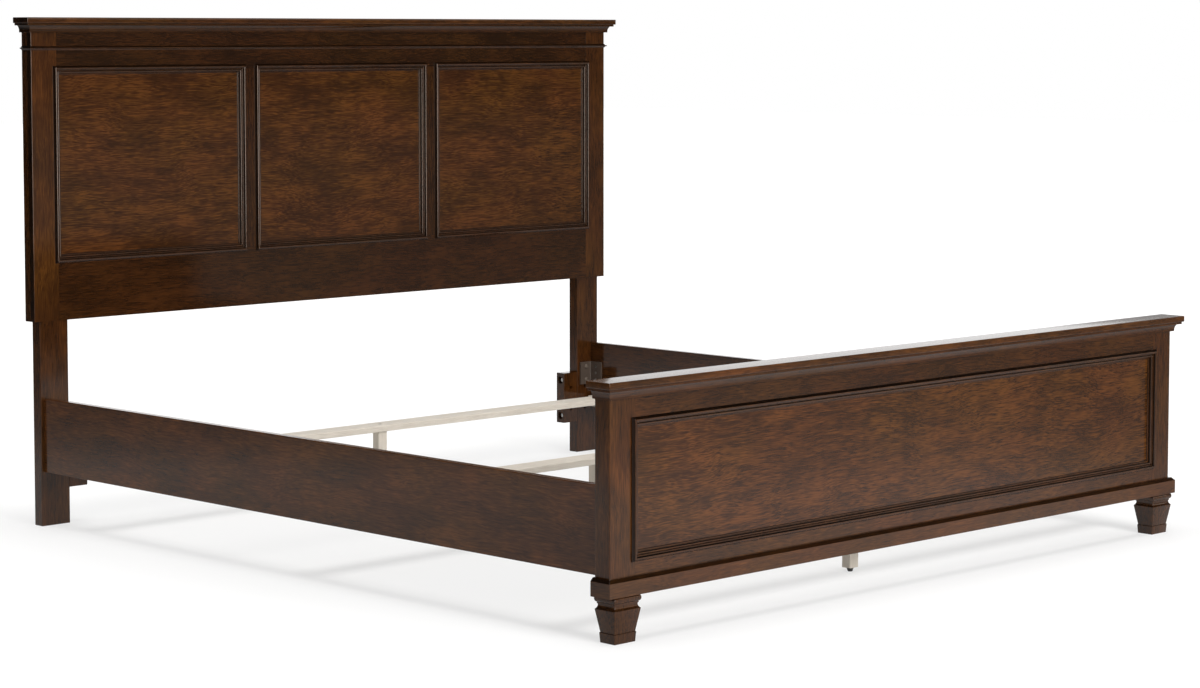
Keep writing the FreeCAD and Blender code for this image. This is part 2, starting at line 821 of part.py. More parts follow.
keep(group("leg_block_bolts", block_bolts))


def cap(name, side, front, back, low):
    """A moulded shelf over a frame, square only at its back."""
    overhang = size.cap_overhang
    return keep(
        eased_board(
            name,
            (-side - overhang, side + overhang),
            (front - overhang, back),
            (low, low + size.cap_thick),
            size.cap_ease,
            lambda across, along, up: along < 1,
        )
    )


# Cap, crown and bead of the headboard
crown_rise = size.crown_cove_height + size.crown_step
cap("headboard_cap", head_out, frame_front, head_back, head_top)
wrapped_moulding(
    "headboard_crown",
    crown_section,
    size.crown_step_out,
    crown_rise,
    head_out,
    frame_front,
    head_back,
    head_top - crown_rise,
)
wrapped_moulding(
    "headboard_bead",
    bead_section,
    bead_out,
    bead_height,
    head_out,
    frame_front,
    head_back,
    head_top - size.bead_drop - bead_height,
)

# Footboard frame: posts and rails grooved for one long panel
foot_panel_face = foot_front + size.panel_set_back
foot_panel_along = (foot_panel_face, foot_panel_face + size.panel_thick)
foot_edges = (-post_in, post_in)
foot_open_heights = (foot_open_low, foot_open_top)
foot_groove = panel_seat("foot_groove", foot_edges, foot_panel_along, foot_open_heights, 0)
keep(
    panel_seat(
        "footboard_panel",
        foot_edges,
        foot_panel_along,
        foot_open_heights,
        size.panel_play,
    )
)
framed_moulding("footboard_panel_moulding", foot_edges, foot_panel_face, foot_open_heights)

foot_tenon_start = foot_panel_face + size.panel_thick
foot_tenon_along = (foot_tenon_start, foot_tenon_start + size.foot_tenon_thick)
foot_rail_heights = {
    "top": (foot_open_top, foot_top),
    "bottom": (size.foot_height, foot_open_low),
}
post_cutters = [foot_groove]
for level, heights in foot_rail_heights.items():
    name = f"footboard_{level}_rail"
    pieces = [block(f"{name}_blank", foot_edges, (foot_front, foot_back), heights)]
    for side in (-1, 1):
        pieces.append(rail_tenon(f"{name}_tenon", post_in, foot_tenon_along, heights, side))
    keep(cut(name, fuse(f"{name}_joined", pieces), [foot_groove]))
    mortise = rail_tenon(f"footboard_{level}_mortise", post_in, foot_tenon_along, heights, 1)
    post_cutters.append(mortise)

post_blank = eased_board(
    "footboard_right_post_blank",
    (post_in, leg_out),
    (foot_front, foot_back),
    (size.foot_height, foot_top),
    size.edge_ease,
    lambda across, along, up: across == 1 and up == 0.5,
)
for height in angle_bolt_heights:
    start = (angle_bolt_x, foot_back, height)
    post_cutters.append(bore("post_angle_hole", size.bolt_radius, size.bolt_grip, start, "-y"))
start = (foot_bolt_x, foot_middle_y, size.foot_height)
post_hole = bore("post_foot_hole", size.foot_bolt_radius, size.foot_bolt_half, start, "+z")
post_cutters.append(post_hole)
right_post = keep(cut("footboard_right_post", post_blank, post_cutters))
keep(mirrored("footboard_left_post", right_post))

cap("footboard_cap", leg_out, foot_front, foot_back, foot_top)
wrapped_moulding(
    "footboard_crown",
    crown_section,
    size.crown_step_out,
    crown_rise,
    leg_out,
    foot_front,
    foot_back,
    foot_top - crown_rise,
)
wrapped_moulding(
    "footboard_base_moulding",
    base_section,
    size.base_out,
    size.base_height,
    leg_out,
    foot_front,
    foot_back,
    size.foot_height,
)

# Footboard feet: one profile on all four sides, meeting in mitred corners
FOOT_HEIGHT_SHARES = {
    "pad": 0.21,
    "groove": 0.222,
    "waist": 0.24,
    "shoulder": 0.715,
    "neck": 0.83,
    "throat": 0.865,
    "ring_foot": 0.87,
    "ring": 0.935,
}
FOOT_INSET_SHARES = {
    "floor": 1.0,
    "pad": 0.84,
    "groove": 1.0,
    "waist": 0.97,
    "shoulder": 0.09,
    "neck": 0.58,
    "throat": 0.45,
    "ring_foot": 0.3,
    "top": 0.25,
}


def foot_side(half):
    """The profile of one side of the foot, from the floor up, and how each edge bends."""
    rise = {name: size.foot_height * share for name, share in FOOT_HEIGHT_SHARES.items()}
    inset = {name: size.foot_taper * share for name, share in FOOT_INSET_SHARES.items()}
    return [
        (half - inset["floor"], as_size(0)),
        (half - inset["pad"], rise["pad"]),
        (half - inset["groove"], rise["groove"]),
        (half - inset["waist"], rise["waist"]),
        (half - inset["shoulder"], rise["shoulder"], -size.foot_hollow),
        (half - inset["neck"], rise["neck"]),
        (half - inset["throat"], rise["neck"]),
        (half - inset["throat"], rise["throat"]),
        (half - inset["ring_foot"], rise["ring_foot"], size.foot_ring),
        (half, rise["ring"], size.foot_ring),
        (half - inset["top"], size.foot_height),
    ]


def foot_outline(width):
    """Both sides of the foot: up the right side and down the left."""
    right = foot_side(width / 2)
    outline = []
    for corner in right:
        outline.append((width / 2 + corner[0],) + corner[1:])
    bends = [corner[2] if len(corner) == 3 else None for corner in right]
    for index in range(len(right) - 1, -1, -1):
        mirrored_corner = (width / 2 - right[index][0], right[index][1])
        bend = bends[index - 1] if index else None
        outline.append(mirrored_corner if bend is None else mirrored_corner + (bend,))
    return outline


UPRIGHT_ACROSS = FreeCAD.Rotation(ALONG_X, ALONG_Z, -ALONG_Y, "ZXY")
foot_faces = extruded(
    "foot_front_view",
    foot_outline(size.foot_width),
    size.foot_depth,
    UPRIGHT_ACROSS,
    (foot_middle_x - size.foot_width / 2, foot_middle_y + size.foot_depth / 2, 0),
)
foot_flanks = extruded(
    "foot_side_view",
    foot_outline(size.foot_depth),
    size.foot_width,
    PROFILE_PLANE,
    (foot_middle_x - size.foot_width / 2, foot_middle_y - size.foot_depth / 2, 0),
)
foot_form = doc.addObject("Part::Common", "foot_form")
foot_form.Base = foot_faces
foot_form.Tool = foot_flanks
foot_length = size.foot_bolt_half * 2
start = (foot_bolt_x, foot_middle_y, size.foot_height - size.foot_bolt_half)
foot_hole = bore("foot_hole", size.foot_bolt_radius, foot_length, start, "+z")
right_foot = keep(cut("footboard_right_foot", foot_form, [foot_hole]))
keep(mirrored("footboard_left_foot", right_foot))
foot_bolt = bore("foot_bolt", size.foot_bolt_radius, foot_length, start, "+z")
keep(group("foot_bolts", [foot_bolt, mirrored("foot_bolt_twin", foot_bolt)]))

# Side rails and their ledgers
rail_blank = eased_board(
    "right_side_rail_blank",
    (rail_in, rail_out),
    (foot_back + size.rail_gap, leg_front - size.rail_gap),
    (size.rail_low, size.rail_low + size.rail_height),
    size.edge_ease,
    lambda across, along, up: along == 0.5,
)
rail_cutters = []
angle_screws = []
angle_bolts = []
for height in angle_screw_heights:
    start = (rail_in - size.angle_thick, angle_screw_y, height)
    length = size.angle_thick + size.screw_grip
    head_end = screw("rail_screw_hole", length, start, "+x")
    rail_cutters += [head_end, mirrored("rail_screw_hole_foot", head_end, ALONG_Y, well_middle)]
    one = screw("angle_screw", length, start, "+x")
    pair = [one, mirrored("angle_screw_foot", one, ALONG_Y, well_middle)]
    angle_screws += pair + [mirrored("angle_screw_twin", item) for item in pair]
for height in angle_bolt_heights:
    start = (angle_bolt_x, leg_front - size.angle_thick, height)
    one = bolt("angle_bolt", size.angle_thick + size.bolt_grip, start, "+y")
    pair = [one, mirrored("angle_bolt_foot", one, ALONG_Y, well_middle)]
    angle_bolts += pair + [mirrored("angle_bolt_twin", item) for item in pair]
right_rail = keep(cut("right_side_rail", rail_blank, rail_cutters))
keep(mirrored("left_side_rail", right_rail))
keep(group("angle_screws", angle_screws))
keep(group("angle_bolts", angle_bolts))

ledger_blank = block(
    "right_ledger_blank",
    (rail_in - size.ledger_width, rail_in),
    (foot_back + size.ledger_short, leg_front - size.ledger_short),
    (size.rail_low, slat_low),
)
slat_screw_length = size.slat_thick + size.screw_grip
slat_screws = []
ledger_holes = []
for _, y in slat_places:
    start = (slat_screw_x, y, slat_top)
    ledger_holes.append(screw("ledger_screw_hole", slat_screw_length, start, "-z"))
    one = screw("slat_screw", slat_screw_length, start, "-z")
    slat_screws += [one, mirrored("slat_screw_twin", one)]
right_ledger = keep(cut("right_ledger", ledger_blank, ledger_holes))
keep(mirrored("left_ledger", right_ledger))
keep(group("slat_screws", slat_screws))

# Steel angles that join the rails to the legs and posts
angle_blank = doc.addObject("PartDesign::Body", "angle_blank")
angle_outline = body_sketch(
    angle_blank,
    "XY_Plane",
    [
        (size.angle_bend, 0),
        (size.angle_leg_flange, 0),
        (size.angle_leg_flange, size.angle_thick),
        (size.angle_bend, size.angle_thick, size.angle_thick - size.angle_bend),
        (size.angle_thick, size.angle_bend),
        (size.angle_thick, size.angle_rail_flange),
        (0, size.angle_rail_flange),
        (0, size.angle_bend, size.angle_bend),
    ],
)
angle_pad = angle_blank.newObject("PartDesign::Pad", "angle_pad")
angle_pad.Profile = angle_outline
bind(angle_pad, Length=size.angle_height)
place(angle_blank, (rail_in, leg_front, size.angle_low), FreeCAD.Rotation(ALONG_Z, 180))
angle_holes = []
for height in angle_bolt_heights:
    start = (angle_bolt_x, leg_front - size.angle_thick, height)
    angle_holes.append(bore("angle_bolt_hole", size.bolt_radius, size.angle_thick, start, "+y"))
for height in angle_screw_heights:
    start = (rail_in - size.angle_thick, angle_screw_y, height)
    angle_holes.append(screw("angle_screw_hole", size.angle_thick + size.overrun, start, "+x"))
right_head_angle = keep(cut("right_head_angle", angle_blank, angle_holes))
left_head_angle = keep(mirrored("left_head_angle", right_head_angle))
keep(mirrored("right_foot_angle", right_head_angle, ALONG_Y, well_middle))
keep(mirrored("left_foot_angle", left_head_angle, ALONG_Y, well_middle))

# Cross slats, their support legs and the levelling glides
support_low = size.glide_height + size.glide_gap
bolt_depth = size.bolt_head_height
support_bolts = []
inserts = []
for slat, y in slat_places:
    slat_blank = eased_board(
        f"{slat}_blank",
        (size.slat_gap - rail_in, rail_in - size.slat_gap),
        (y - size.slat_width / 2, y + size.slat_width / 2),
        (slat_low, slat_top),
        size.edge_ease,
        lambda across, along, up: across == 0.5,
    )
    screw_start = (slat_screw_x, y, slat_top)
    screw_hole = screw(f"{slat}_hole", slat_screw_length, screw_start, "-z")
    head_seat = (0, y, slat_top - bolt_depth)
    shank_length = size.support_bolt_length
    slat_cutters = [
        screw_hole,
        mirrored(f"{slat}_hole_twin", screw_hole),
        bore(f"{slat}_head_pocket", size.bolt_head_radius, size.slat_thick, head_seat, "+z"),
        bore(f"{slat}_shank_hole", size.bolt_radius, shank_length, head_seat, "-z"),
    ]
    keep(cut(f"{slat}_slat", slat_blank, slat_cutters))
    support_bolts.append(bolt(f"{slat}_support_bolt", shank_length, head_seat, "-z"))

    support_blank = eased_board(
        f"{slat}_support_blank",
        (-size.support_width / 2, size.support_width / 2),
        (y - size.support_depth / 2, y + size.support_depth / 2),
        (support_low, slat_low),
        size.edge_ease,
        lambda across, along, up: up == 0.5,
    )
    foot_centre = (0, y, support_low)
    stem_space = size.stem_radius + size.stem_room
    stem_depth = size.stem_length + size.overrun
    support_cutters = [
        bore(f"{slat}_bolt_hole", size.bolt_radius, shank_length, head_seat, "-z"),
        bore(f"{slat}_insert_hole", size.insert_radius, size.insert_length, foot_centre, "+z"),
        bore(f"{slat}_stem_hole", stem_space, stem_depth, foot_centre, "+z"),
    ]
    keep(cut(f"{slat}_support_leg", support_blank, support_cutters))

    insert_bore = size.stem_radius + size.stem_play
    insert_outline = [
        (insert_bore, 0),
        (size.insert_radius, 0),
        (size.insert_radius, size.insert_length),
        (insert_bore, size.insert_length),
    ]
    inserts.append(place(turned(f"{slat}_insert", insert_outline), foot_centre))

    glide_outline = [
        (0, 0),
        (size.glide_floor_radius - size.glide_ease, 0, size.glide_ease),
        (size.glide_floor_radius, size.glide_ease),
        (size.glide_top_radius, size.glide_height),
        (size.stem_radius, size.glide_height),
        (size.stem_radius, size.stem_length),
        (0, size.stem_length),
    ]
    keep(place(turned(f"{slat}_glide", glide_outline), (0, y, 0)))
keep(group("support_bolts", support_bolts))
keep(group("glide_inserts", inserts))

doc.recompute()
for thing in doc.Objects:
    if "Invalid" in thing.State or "Error" in thing.State:
        raise RuntimeError(f"{thing.Label} did not build: {thing.State}")
for piece in parts:
    if piece.Shape.isNull() or not piece.Shape.isValid() or not piece.Shape.Solids:
        raise RuntimeError(f"{piece.Label} is not a sound solid")

os.makedirs("parts", exist_ok=True)
for piece in parts:
    piece.Shape.exportStep(f"parts/{piece.Label}.step")

whole = FreeCAD.BoundBox()
for piece in parts:
    whole.add(piece.Shape.BoundBox)
print(f"{len(parts)} nodes, {sum(len(piece.Shape.Solids) for piece in parts)} solids")
print(f"width {whole.XLength:.1f}, length {whole.YLength:.1f}, height {whole.ZLength:.1f}")
print(f"middle at {whole.Center.x:.2f}, {whole.Center.y:.2f}, floor at {whole.ZMin:.2f}")
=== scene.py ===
# %% [markdown]
# A king-size panel bed in dark stained wood, dressed for a studio picture. The boards,
# panels and steel angles come ready from the solid model, in metres, with +Y towards the
# headboard and +Z up. This script gives them their finish, and shapes again what a saw and
# a router leave too sharp: mouldings, feet, fasteners and glides.

# %% Load the bed as a fixed frame
import math
import bmesh
import bpy
import mathutils
import numpy as np
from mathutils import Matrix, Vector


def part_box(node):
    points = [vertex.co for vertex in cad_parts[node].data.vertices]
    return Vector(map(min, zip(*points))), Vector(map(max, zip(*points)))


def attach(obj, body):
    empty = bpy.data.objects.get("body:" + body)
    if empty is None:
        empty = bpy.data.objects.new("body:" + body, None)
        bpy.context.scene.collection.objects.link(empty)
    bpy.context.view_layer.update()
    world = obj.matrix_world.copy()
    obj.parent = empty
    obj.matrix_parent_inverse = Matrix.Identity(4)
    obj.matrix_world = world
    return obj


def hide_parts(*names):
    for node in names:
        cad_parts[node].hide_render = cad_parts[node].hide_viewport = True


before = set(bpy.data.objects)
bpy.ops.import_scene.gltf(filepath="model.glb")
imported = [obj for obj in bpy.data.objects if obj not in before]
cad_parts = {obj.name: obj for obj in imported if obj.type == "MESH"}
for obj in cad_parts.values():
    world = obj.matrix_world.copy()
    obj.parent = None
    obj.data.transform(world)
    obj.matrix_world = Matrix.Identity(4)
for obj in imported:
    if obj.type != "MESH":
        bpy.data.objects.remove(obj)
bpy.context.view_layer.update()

# %% [markdown]
# The picture was taken from the left of the foot end, from about cap height and several
# metres away, with a long lens. Its upright edges stay almost upright, as with a lens that
# is shifted downwards. A small shift does that here; the rest is a gentle tilt, so that
# other views of the bed stay centred too.

# %% Set up the camera
CAMERA_PLACE = (-5.3156, -5.3895, 1.2872)
CAMERA_YAW = math.radians(44.578)
CAMERA_TILT = math.radians(4.192)
CAMERA_LENS = 88.113
CAMERA_SHIFT = -0.08
SENSOR_WIDTH = 36
CLIP_END = 100

lens = bpy.data.cameras.new("studio_lens")
lens.lens = CAMERA_LENS
lens.sensor_width = SENSOR_WIDTH
lens.shift_y = CAMERA_SHIFT
lens.clip_end = CLIP_END
camera = bpy.data.objects.new("studio_camera", lens)
camera.location = CAMERA_PLACE
camera.rotation_euler = (math.pi / 2 - CAMERA_TILT, 0, -CAMERA_YAW)
bpy.context.collection.objects.link(camera)
bpy.context.scene.camera = camera
bpy.context.scene.view_settings.view_transform = "Standard"
print("camera at", CAMERA_PLACE, "lens", CAMERA_LENS)

# %% [markdown]
# A material is a small graph of nodes. Writing each node as one call keeps the recipes
# below short: the helper makes the node, sets its own settings, and fills each input with
# either a value or the output of another node. Sums on numbers and on vectors, and mixes
# of colours, come so often that they have helpers of their own.

# %% Helpers that write shader nodes
def shader_node(tree, kind, inputs=(), **settings):
    """Make a node, set its properties, then fill inputs: numbers are set, outputs linked."""
    node = tree.nodes.new(kind)
    for name, value in settings.items():
        setattr(node, name, value)
    for name, value in dict(inputs).items():
        socket = node.inputs[name]
        if isinstance(value, bpy.types.NodeSocket):
            tree.links.new(value, socket)
        else:
            socket.default_value = value
    return node


def maths(tree, operation, *values, clamp=False):
    """One Math node on one, two or three values, and its output."""
    return shader_node(
        tree, "ShaderNodeMath", enumerate(values), operation=operation, use_clamp=clamp
    ).outputs[0]


def vector_maths(tree, operation, *values):
    """One Vector Math node, and its outputs, "Vector" and "Value"."""
    return shader_node(
        tree, "ShaderNodeVectorMath", enumerate(values), operation=operation
    ).outputs


def mix_colour(tree, share, first, second, **settings):
    """The first colour where share is 0, the second where it is 1."""
    inputs = {0: share, 6: first, 7: second}
    return shader_node(tree, "ShaderNodeMix", inputs, data_type="RGBA", **settings).outputs[2]


def ramp(tree, value, low, high):
    """0 below low, 1 above high, and smooth between; low may be the larger."""
    inputs = {"Value": value, "From Min": low, "From Max": high}
    return shader_node(
        tree, "ShaderNodeMapRange", inputs, interpolation_type="SMOOTHSTEP"
    ).outputs[0]


def empty_tree(owner):
    """The owner's node tree with nothing in it."""
    owner.use_nodes = True
    owner.node_tree.nodes.clear()
    return owner.node_tree


print("shader helpers ready")

# %% [markdown]
# A mirror in a studio shows the photographer's room, not what the camera's eye sees as
# white. A Light Path node tells the kinds of ray apart, so the surroundings can answer the
# camera, gloss and diffuse light each in their own way.

# %% Tell the rays apart
def blend(tree, share, first, second):
    """The first shader where share is 0, the second where it is 1."""
    inputs = {0: share, 1: first, 2: second}
    return shader_node(tree, "ShaderNodeMixShader", inputs).outputs[0]


def mirrored_rays(tree):
    """1 for rays that left a glossy or clear surface."""
    path = shader_node(tree, "ShaderNodeLightPath").outputs
    return maths(tree, "MAXIMUM", path["Is Glossy Ray"], path["Is Transmission Ray"])


def camera_rays(tree):
    """1 for rays straight from the camera."""
    return shader_node(tree, "ShaderNodeLightPath").outputs["Is Camera Ray"]


print("ray helpers ready")

# %% [markdown]
# A studio sweep is white, so the camera sees white all round. The diffuse light that falls
# on the bed is dimmer, so that a colour renders about as it is written. Gloss mirrors the
# lit backdrop behind the bed, and elsewhere the dark room that the camera stands in: that
# keeps dark wood dark and makes the tops of the caps shine.

# %% Surround the bed with a studio
AMBIENT = 0.35
ROOM = 0.02
BACKDROP = 0.3
BACKDROP_SIDE = (0.766, 0.643, 0)
BACKDROP_EDGE = (0.3, 0.7)
BACKDROP_TOP = (0.55, 0.25)
SEEN_WHITE = (1, 1, 1, 1)


def studio_world():
    """White for the eye, a backdrop and a dim room for gloss, soft grey for diffuse light."""
    world = bpy.data.worlds.new("studio_world")
    tree = empty_tree(world)
    direction = shader_node(tree, "ShaderNodeTexCoord").outputs["Generated"]
    facing = vector_maths(tree, "DOT_PRODUCT", direction, BACKDROP_SIDE)["Value"]
    height = shader_node(tree, "ShaderNodeSeparateXYZ", {0: direction}).outputs["Z"]
    backdrop = maths(
        tree,
        "MULTIPLY",
        ramp(tree, facing, *BACKDROP_EDGE),
        ramp(tree, height, *BACKDROP_TOP),
    )
    mirrored = maths(tree, "MULTIPLY_ADD", backdrop, BACKDROP - ROOM, ROOM)
    shown, light, gloss = (
        shader_node(tree, "ShaderNodeBackground", {"Color": SEEN_WHITE, "Strength": strength})
        for strength in (1, AMBIENT, mirrored)
    )
    surface = blend(tree, mirrored_rays(tree), light.outputs[0], gloss.outputs[0])
    surface = blend(tree, camera_rays(tree), surface, shown.outputs[0])
    shader_node(tree, "ShaderNodeOutputWorld", {"Surface": surface})
    bpy.context.scene.world = world


studio_world()
print("world", bpy.context.scene.world.name)

# %% [markdown]
# The lamps are those of a furniture studio: one overhead that draws soft shadows under the
# rails and slats, a large softbox in front, nearer to the footboard than to the headboard,
# and a broad low one behind that skims over the caps. Two long reflectors beyond the camera
# show in gloss alone: the left one draws pale lines down the upright beads, the right one,
# which stands higher, along the level beads.

# %% Hang the lamps
OVERHEAD_SUN = (1.9, 30, 4, -60)  # strength, spread, tilt and turn in degrees
BACKDROP_SUN = (0.36, 42, 72, 142)
FRONT_BOX = (700, (3.5, 3.5), (-0.8, -9.0, 3.4))  # watts, sides, place
AIM = (0, 0, 0.5)
REFLECTORS = {
    "left_reflector": (300, (6.6, 2.0), (-4.75, -8.2, 1.0)),
    "right_reflector": (60, (7.0, 1.6), (6.4, -7.1, 2.6)),
}
WARM_WHITE = (1.0, 0.86, 0.74)


def soft_sun(name, energy, spread, tilt, turn):
    """A distant lamp as wide as spread degrees, tilted from overhead and turned from +Y."""
    lamp = bpy.data.lights.new(name, "SUN")
    lamp.energy = energy
    lamp.angle = math.radians(spread)
    holder = bpy.data.objects.new(name, lamp)
    holder.rotation_euler = (math.radians(tilt), 0, math.radians(turn))
    bpy.context.collection.objects.link(holder)


def softbox(name, watts, sides, place, aim):
    """A rectangular area lamp that faces a point and that the camera doesn't see."""
    lamp = bpy.data.lights.new(name, "AREA")
    lamp.energy = watts
    lamp.shape = "RECTANGLE"
    lamp.size, lamp.size_y = sides
    holder = bpy.data.objects.new(name, lamp)
    holder.location = place
    towards = mathutils.Vector(aim) - mathutils.Vector(place)
    holder.rotation_euler = towards.to_track_quat("-Z", "Y").to_euler()
    holder.visible_camera = False
    bpy.context.collection.objects.link(holder)
    return holder


soft_sun("overhead_softbox", *OVERHEAD_SUN)
softbox("front_softbox", *FRONT_BOX, AIM)
for name, (watts, sides, place) in REFLECTORS.items():
    reflector = softbox(name, watts, sides, place, (0, 0, place[2]))
    reflector.data.color = WARM_WHITE
    reflector.visible_diffuse = False
soft_sun("backdrop_softbox", *BACKDROP_SUN)

# %% [markdown]
# The floor is a large white sheet that blends into the background. To the camera it glows
# a little, so that it clips to white in the open, while its diffuse part keeps the pale
# shadows under the rails and slats. Under the bed its glow is lowered, a painted shade for
# the room's light that the boards keep from it.

# %% Light the floor for the eye
FLOOR_GLOW = 0.72
FAR_GLOW = 0.84
UNDER_BED_PAINTED_SHADE = 0.13
UNDER_BED_SHADE_EDGE = (1.7, 0.95)
SWEEP_NEAR = 2.0
SWEEP_FAR = 5.0


def glowing_white(tree, strength):
    """White light given out by the floor itself."""
    return shader_node(
        tree, "ShaderNodeEmission", {"Color": SEEN_WHITE, "Strength": strength}
    ).outputs[0]


def floor_glow(tree, place, away):
    """FAR_GLOW far off and FLOOR_GLOW near by, less a painted shade within the bed's outline.

    The outline is taken as a square: the larger of |x| and |y| tells how far out a point is.
    """
    near = ramp(tree, away, SWEEP_FAR, SWEEP_NEAR)
    glow = maths(tree, "MULTIPLY_ADD", near, FLOOR_GLOW - FAR_GLOW, FAR_GLOW)
    across = vector_maths(tree, "ABSOLUTE", place)["Vector"]
    across = shader_node(tree, "ShaderNodeSeparateXYZ", {0: across}).outputs
    out = maths(tree, "MAXIMUM", across["X"], across["Y"])
    # painted shade: the glow is lowered within the bed's outline
    return maths(tree, "MULTIPLY_ADD", ramp(tree, out, *UNDER_BED_SHADE_EDGE), -UNDER_BED_PAINTED_SHADE, glow)


print("floor glows", FLOOR_GLOW, "near the bed")

# %% [markdown]
# In gloss the floor is brightest at the bed, under the lamps, and fades with a power of the
# distance to an even grey. That grey is darker to the sides and behind, where the studio
# has no lamps, so the boards that face that way stay dark.

# %% Light the floor for gloss
LIT_SIDE = (0.087, -0.996, 0)
LIT_EDGE = (-0.7, 0.6)
CENTRE_EDGE = (0.7, 0.9)
CENTRE_GAIN = 0.36
GLOSS_BEFORE = (2.46, -2.0, 0.46)  # strength, power, most
GLOSS_BEHIND = (5.2, -2.5, 0.52)
FAR_GLOSS = 0.2


def fading(tree, away, strength, power, most):
    """strength * away ** power, but no more than most."""
    fade = maths(tree, "MULTIPLY", maths(tree, "POWER", away, power), strength)
    return maths(tree, "MINIMUM", fade, most)


def floor_gloss(tree, place, away):
    """One fading light before the bed and another behind it, mixed by the direction.

    The direction is the cosine between a place on the floor and the lit side.
    """
    along = vector_maths(tree, "DOT_PRODUCT", place, LIT_SIDE)["Value"]
    facing = maths(tree, "DIVIDE", along, away)
    centre = ramp(tree, facing, *CENTRE_EDGE)
    centre = maths(tree, "MULTIPLY_ADD", centre, CENTRE_GAIN, 1 - CENTRE_GAIN)
    before = maths(tree, "ADD", fading(tree, away, *GLOSS_BEFORE), FAR_GLOSS)
    before = maths(tree, "MULTIPLY", before, centre)
    behind = fading(tree, away, *GLOSS_BEHIND)
    more = maths(tree, "SUBTRACT", before, behind)
    return maths(tree, "MULTIPLY_ADD", ramp(tree, facing, *LIT_EDGE), more, behind)


print("floor's far gloss", FAR_GLOSS)

# %% [markdown]
# Both lights meet in the floor's material, with a plain diffuse part that bounces light back
# up at the bed. The sheet itself is one square.

# %% Lay the floor
FLOOR_REACH = 30
FLOOR_SHADE = (0.33, 0.328, 0.325, 1)
FLOOR_BOUNCE = (0.7, 0.7, 0.7, 1)


def white_floor():
    """Glow and shade for the eye, white near the bed for gloss, plain diffuse otherwise."""
    material = bpy.data.materials.new("studio_floor")
    tree = empty_tree(material)
    place = shader_node(tree, "ShaderNodeTexCoord").outputs["Object"]
    away = vector_maths(tree, "LENGTH", place)["Value"]
    glow, gloss = floor_glow(tree, place, away), floor_gloss(tree, place, away)
    shade = shader_node(tree, "ShaderNodeBsdfDiffuse", {"Color": FLOOR_SHADE}).outputs[0]
    bounce = shader_node(tree, "ShaderNodeBsdfDiffuse", {"Color": FLOOR_BOUNCE}).outputs[0]
    seen = shader_node(tree, "ShaderNodeAddShader", {0: glowing_white(tree, glow), 1: shade})
    surface = blend(tree, mirrored_rays(tree), bounce, glowing_white(tree, gloss))
    surface = blend(tree, camera_rays(tree), surface, seen.outputs[0])
    shader_node(tree, "ShaderNodeOutputMaterial", {"Surface": surface})
    return material


floor_mesh = bpy.data.meshes.new("floor")
floor_corners = np.array([(-1, -1, 0), (1, -1, 0), (1, 1, 0), (-1, 1, 0)]) * FLOOR_REACH
floor_mesh.from_pydata(floor_corners.tolist(), [], [(0, 1, 2, 3)])
floor_mesh.materials.append(white_floor())
floor = bpy.data.objects.new("floor", floor_mesh)
bpy.context.collection.objects.link(floor)
print("floor", 2 * FLOOR_REACH, "m across")

# %% [markdown]
# The wood is stained birch. Stain soaks in unevenly, so the colour lies in soft clouds a
# hand wide and in smudges within them, now more orange, now redder. Thin dark lines run
# where a growth ring meets the surface, and short flecks and fibres lie over everything, a
# little curled. A picture of wood would repeat and would stop at a board's edge, so all of
# this is noise, stretched along the grain, which goes on round every corner of a board. A
# slow drift across the grain keeps every line from being quite straight.

# %% Noise along the grain
FIGURE = {  # cells to the metre along and across the grain, detail, roughness
    "cloud": ((5.0, 12.0, 12.0), 3.0, 0.55),
    "smudge": ((13.0, 38.0, 38.0), 3.0, 0.6),
    "ring": ((2.4, 95.0, 95.0), 1.0, 0.5),
    "fleck": ((15.0, 300.0, 300.0), 2.0, 0.6),
    "fibre": ((27.0, 520.0, 520.0), 1.0, 0.6),
    "curl": ((52.0, 9.0, 9.0), 1.0, 0.5),
    "hue": ((3.5, 6.0, 6.0), 2.0, 0.5),
}
WANDER = ((3.0, 5.0, 5.0), 2.0, 0.5)
WANDER_GAIN = 0.05


def stretched_noise(tree, vector, scale, detail, roughness):
    """Noise whose cells are 1/scale long on each axis, from 0 to 1 about 0.5."""
    place = vector_maths(tree, "MULTIPLY", vector, scale)["Vector"]
    inputs = {"Vector": place, "Scale": 1.0, "Detail": detail, "Roughness": roughness}
    return shader_node(tree, "ShaderNodeTexNoise", inputs).outputs["Fac"]


def centred(tree, value, gain):
    """gain * (value - 0.5)."""
    return maths(tree, "MULTIPLY", maths(tree, "SUBTRACT", value, 0.5), gain)


def wood_noises(tree, vector):
    """Every noise of the figure, on a vector that wanders across the grain."""
    wander = centred(tree, stretched_noise(tree, vector, *WANDER), WANDER_GAIN)
    drift = shader_node(tree, "ShaderNodeCombineXYZ", {"Y": wander, "Z": wander}).outputs[0]
    vector = vector_maths(tree, "ADD", vector, drift)["Vector"]
    return {name: stretched_noise(tree, vector, *cells) for name, cells in FIGURE.items()}


print("figure", list(FIGURE))

# %% [markdown]
# The tone of the wood is one number from dark to bright: the middle, plus the broad
# unevenness, plus the fine figure. A growth line is drawn where its noise passes through the
# middle of its range, which gives thin lines that never cross. The tone then picks a colour
# between three shades of stain.

# %% Tone and stain
GAINS = {"cloud": 1.62, "smudge": 1.2, "fleck": 0.7, "fibre": 3.3, "curl": 0.3}
RING_WIDTH = 0.07
RING_GAIN = 0.4
ORANGE = (0.98, 1.02, 0.92, 1)
REDDER = (1.02, 0.97, 1.1, 1)
HUE_EDGE = (0.35, 0.65)


def growth_lines(tree, ring):
    """-1 on a line and 0 off it: the noise's distance from 0.5, as a ramp RING_WIDTH wide."""
    from_ring = maths(tree, "ABSOLUTE", maths(tree, "SUBTRACT", ring, 0.5))
    return maths(tree, "SUBTRACT", ramp(tree, from_ring, 0.0, RING_WIDTH), 1.0)


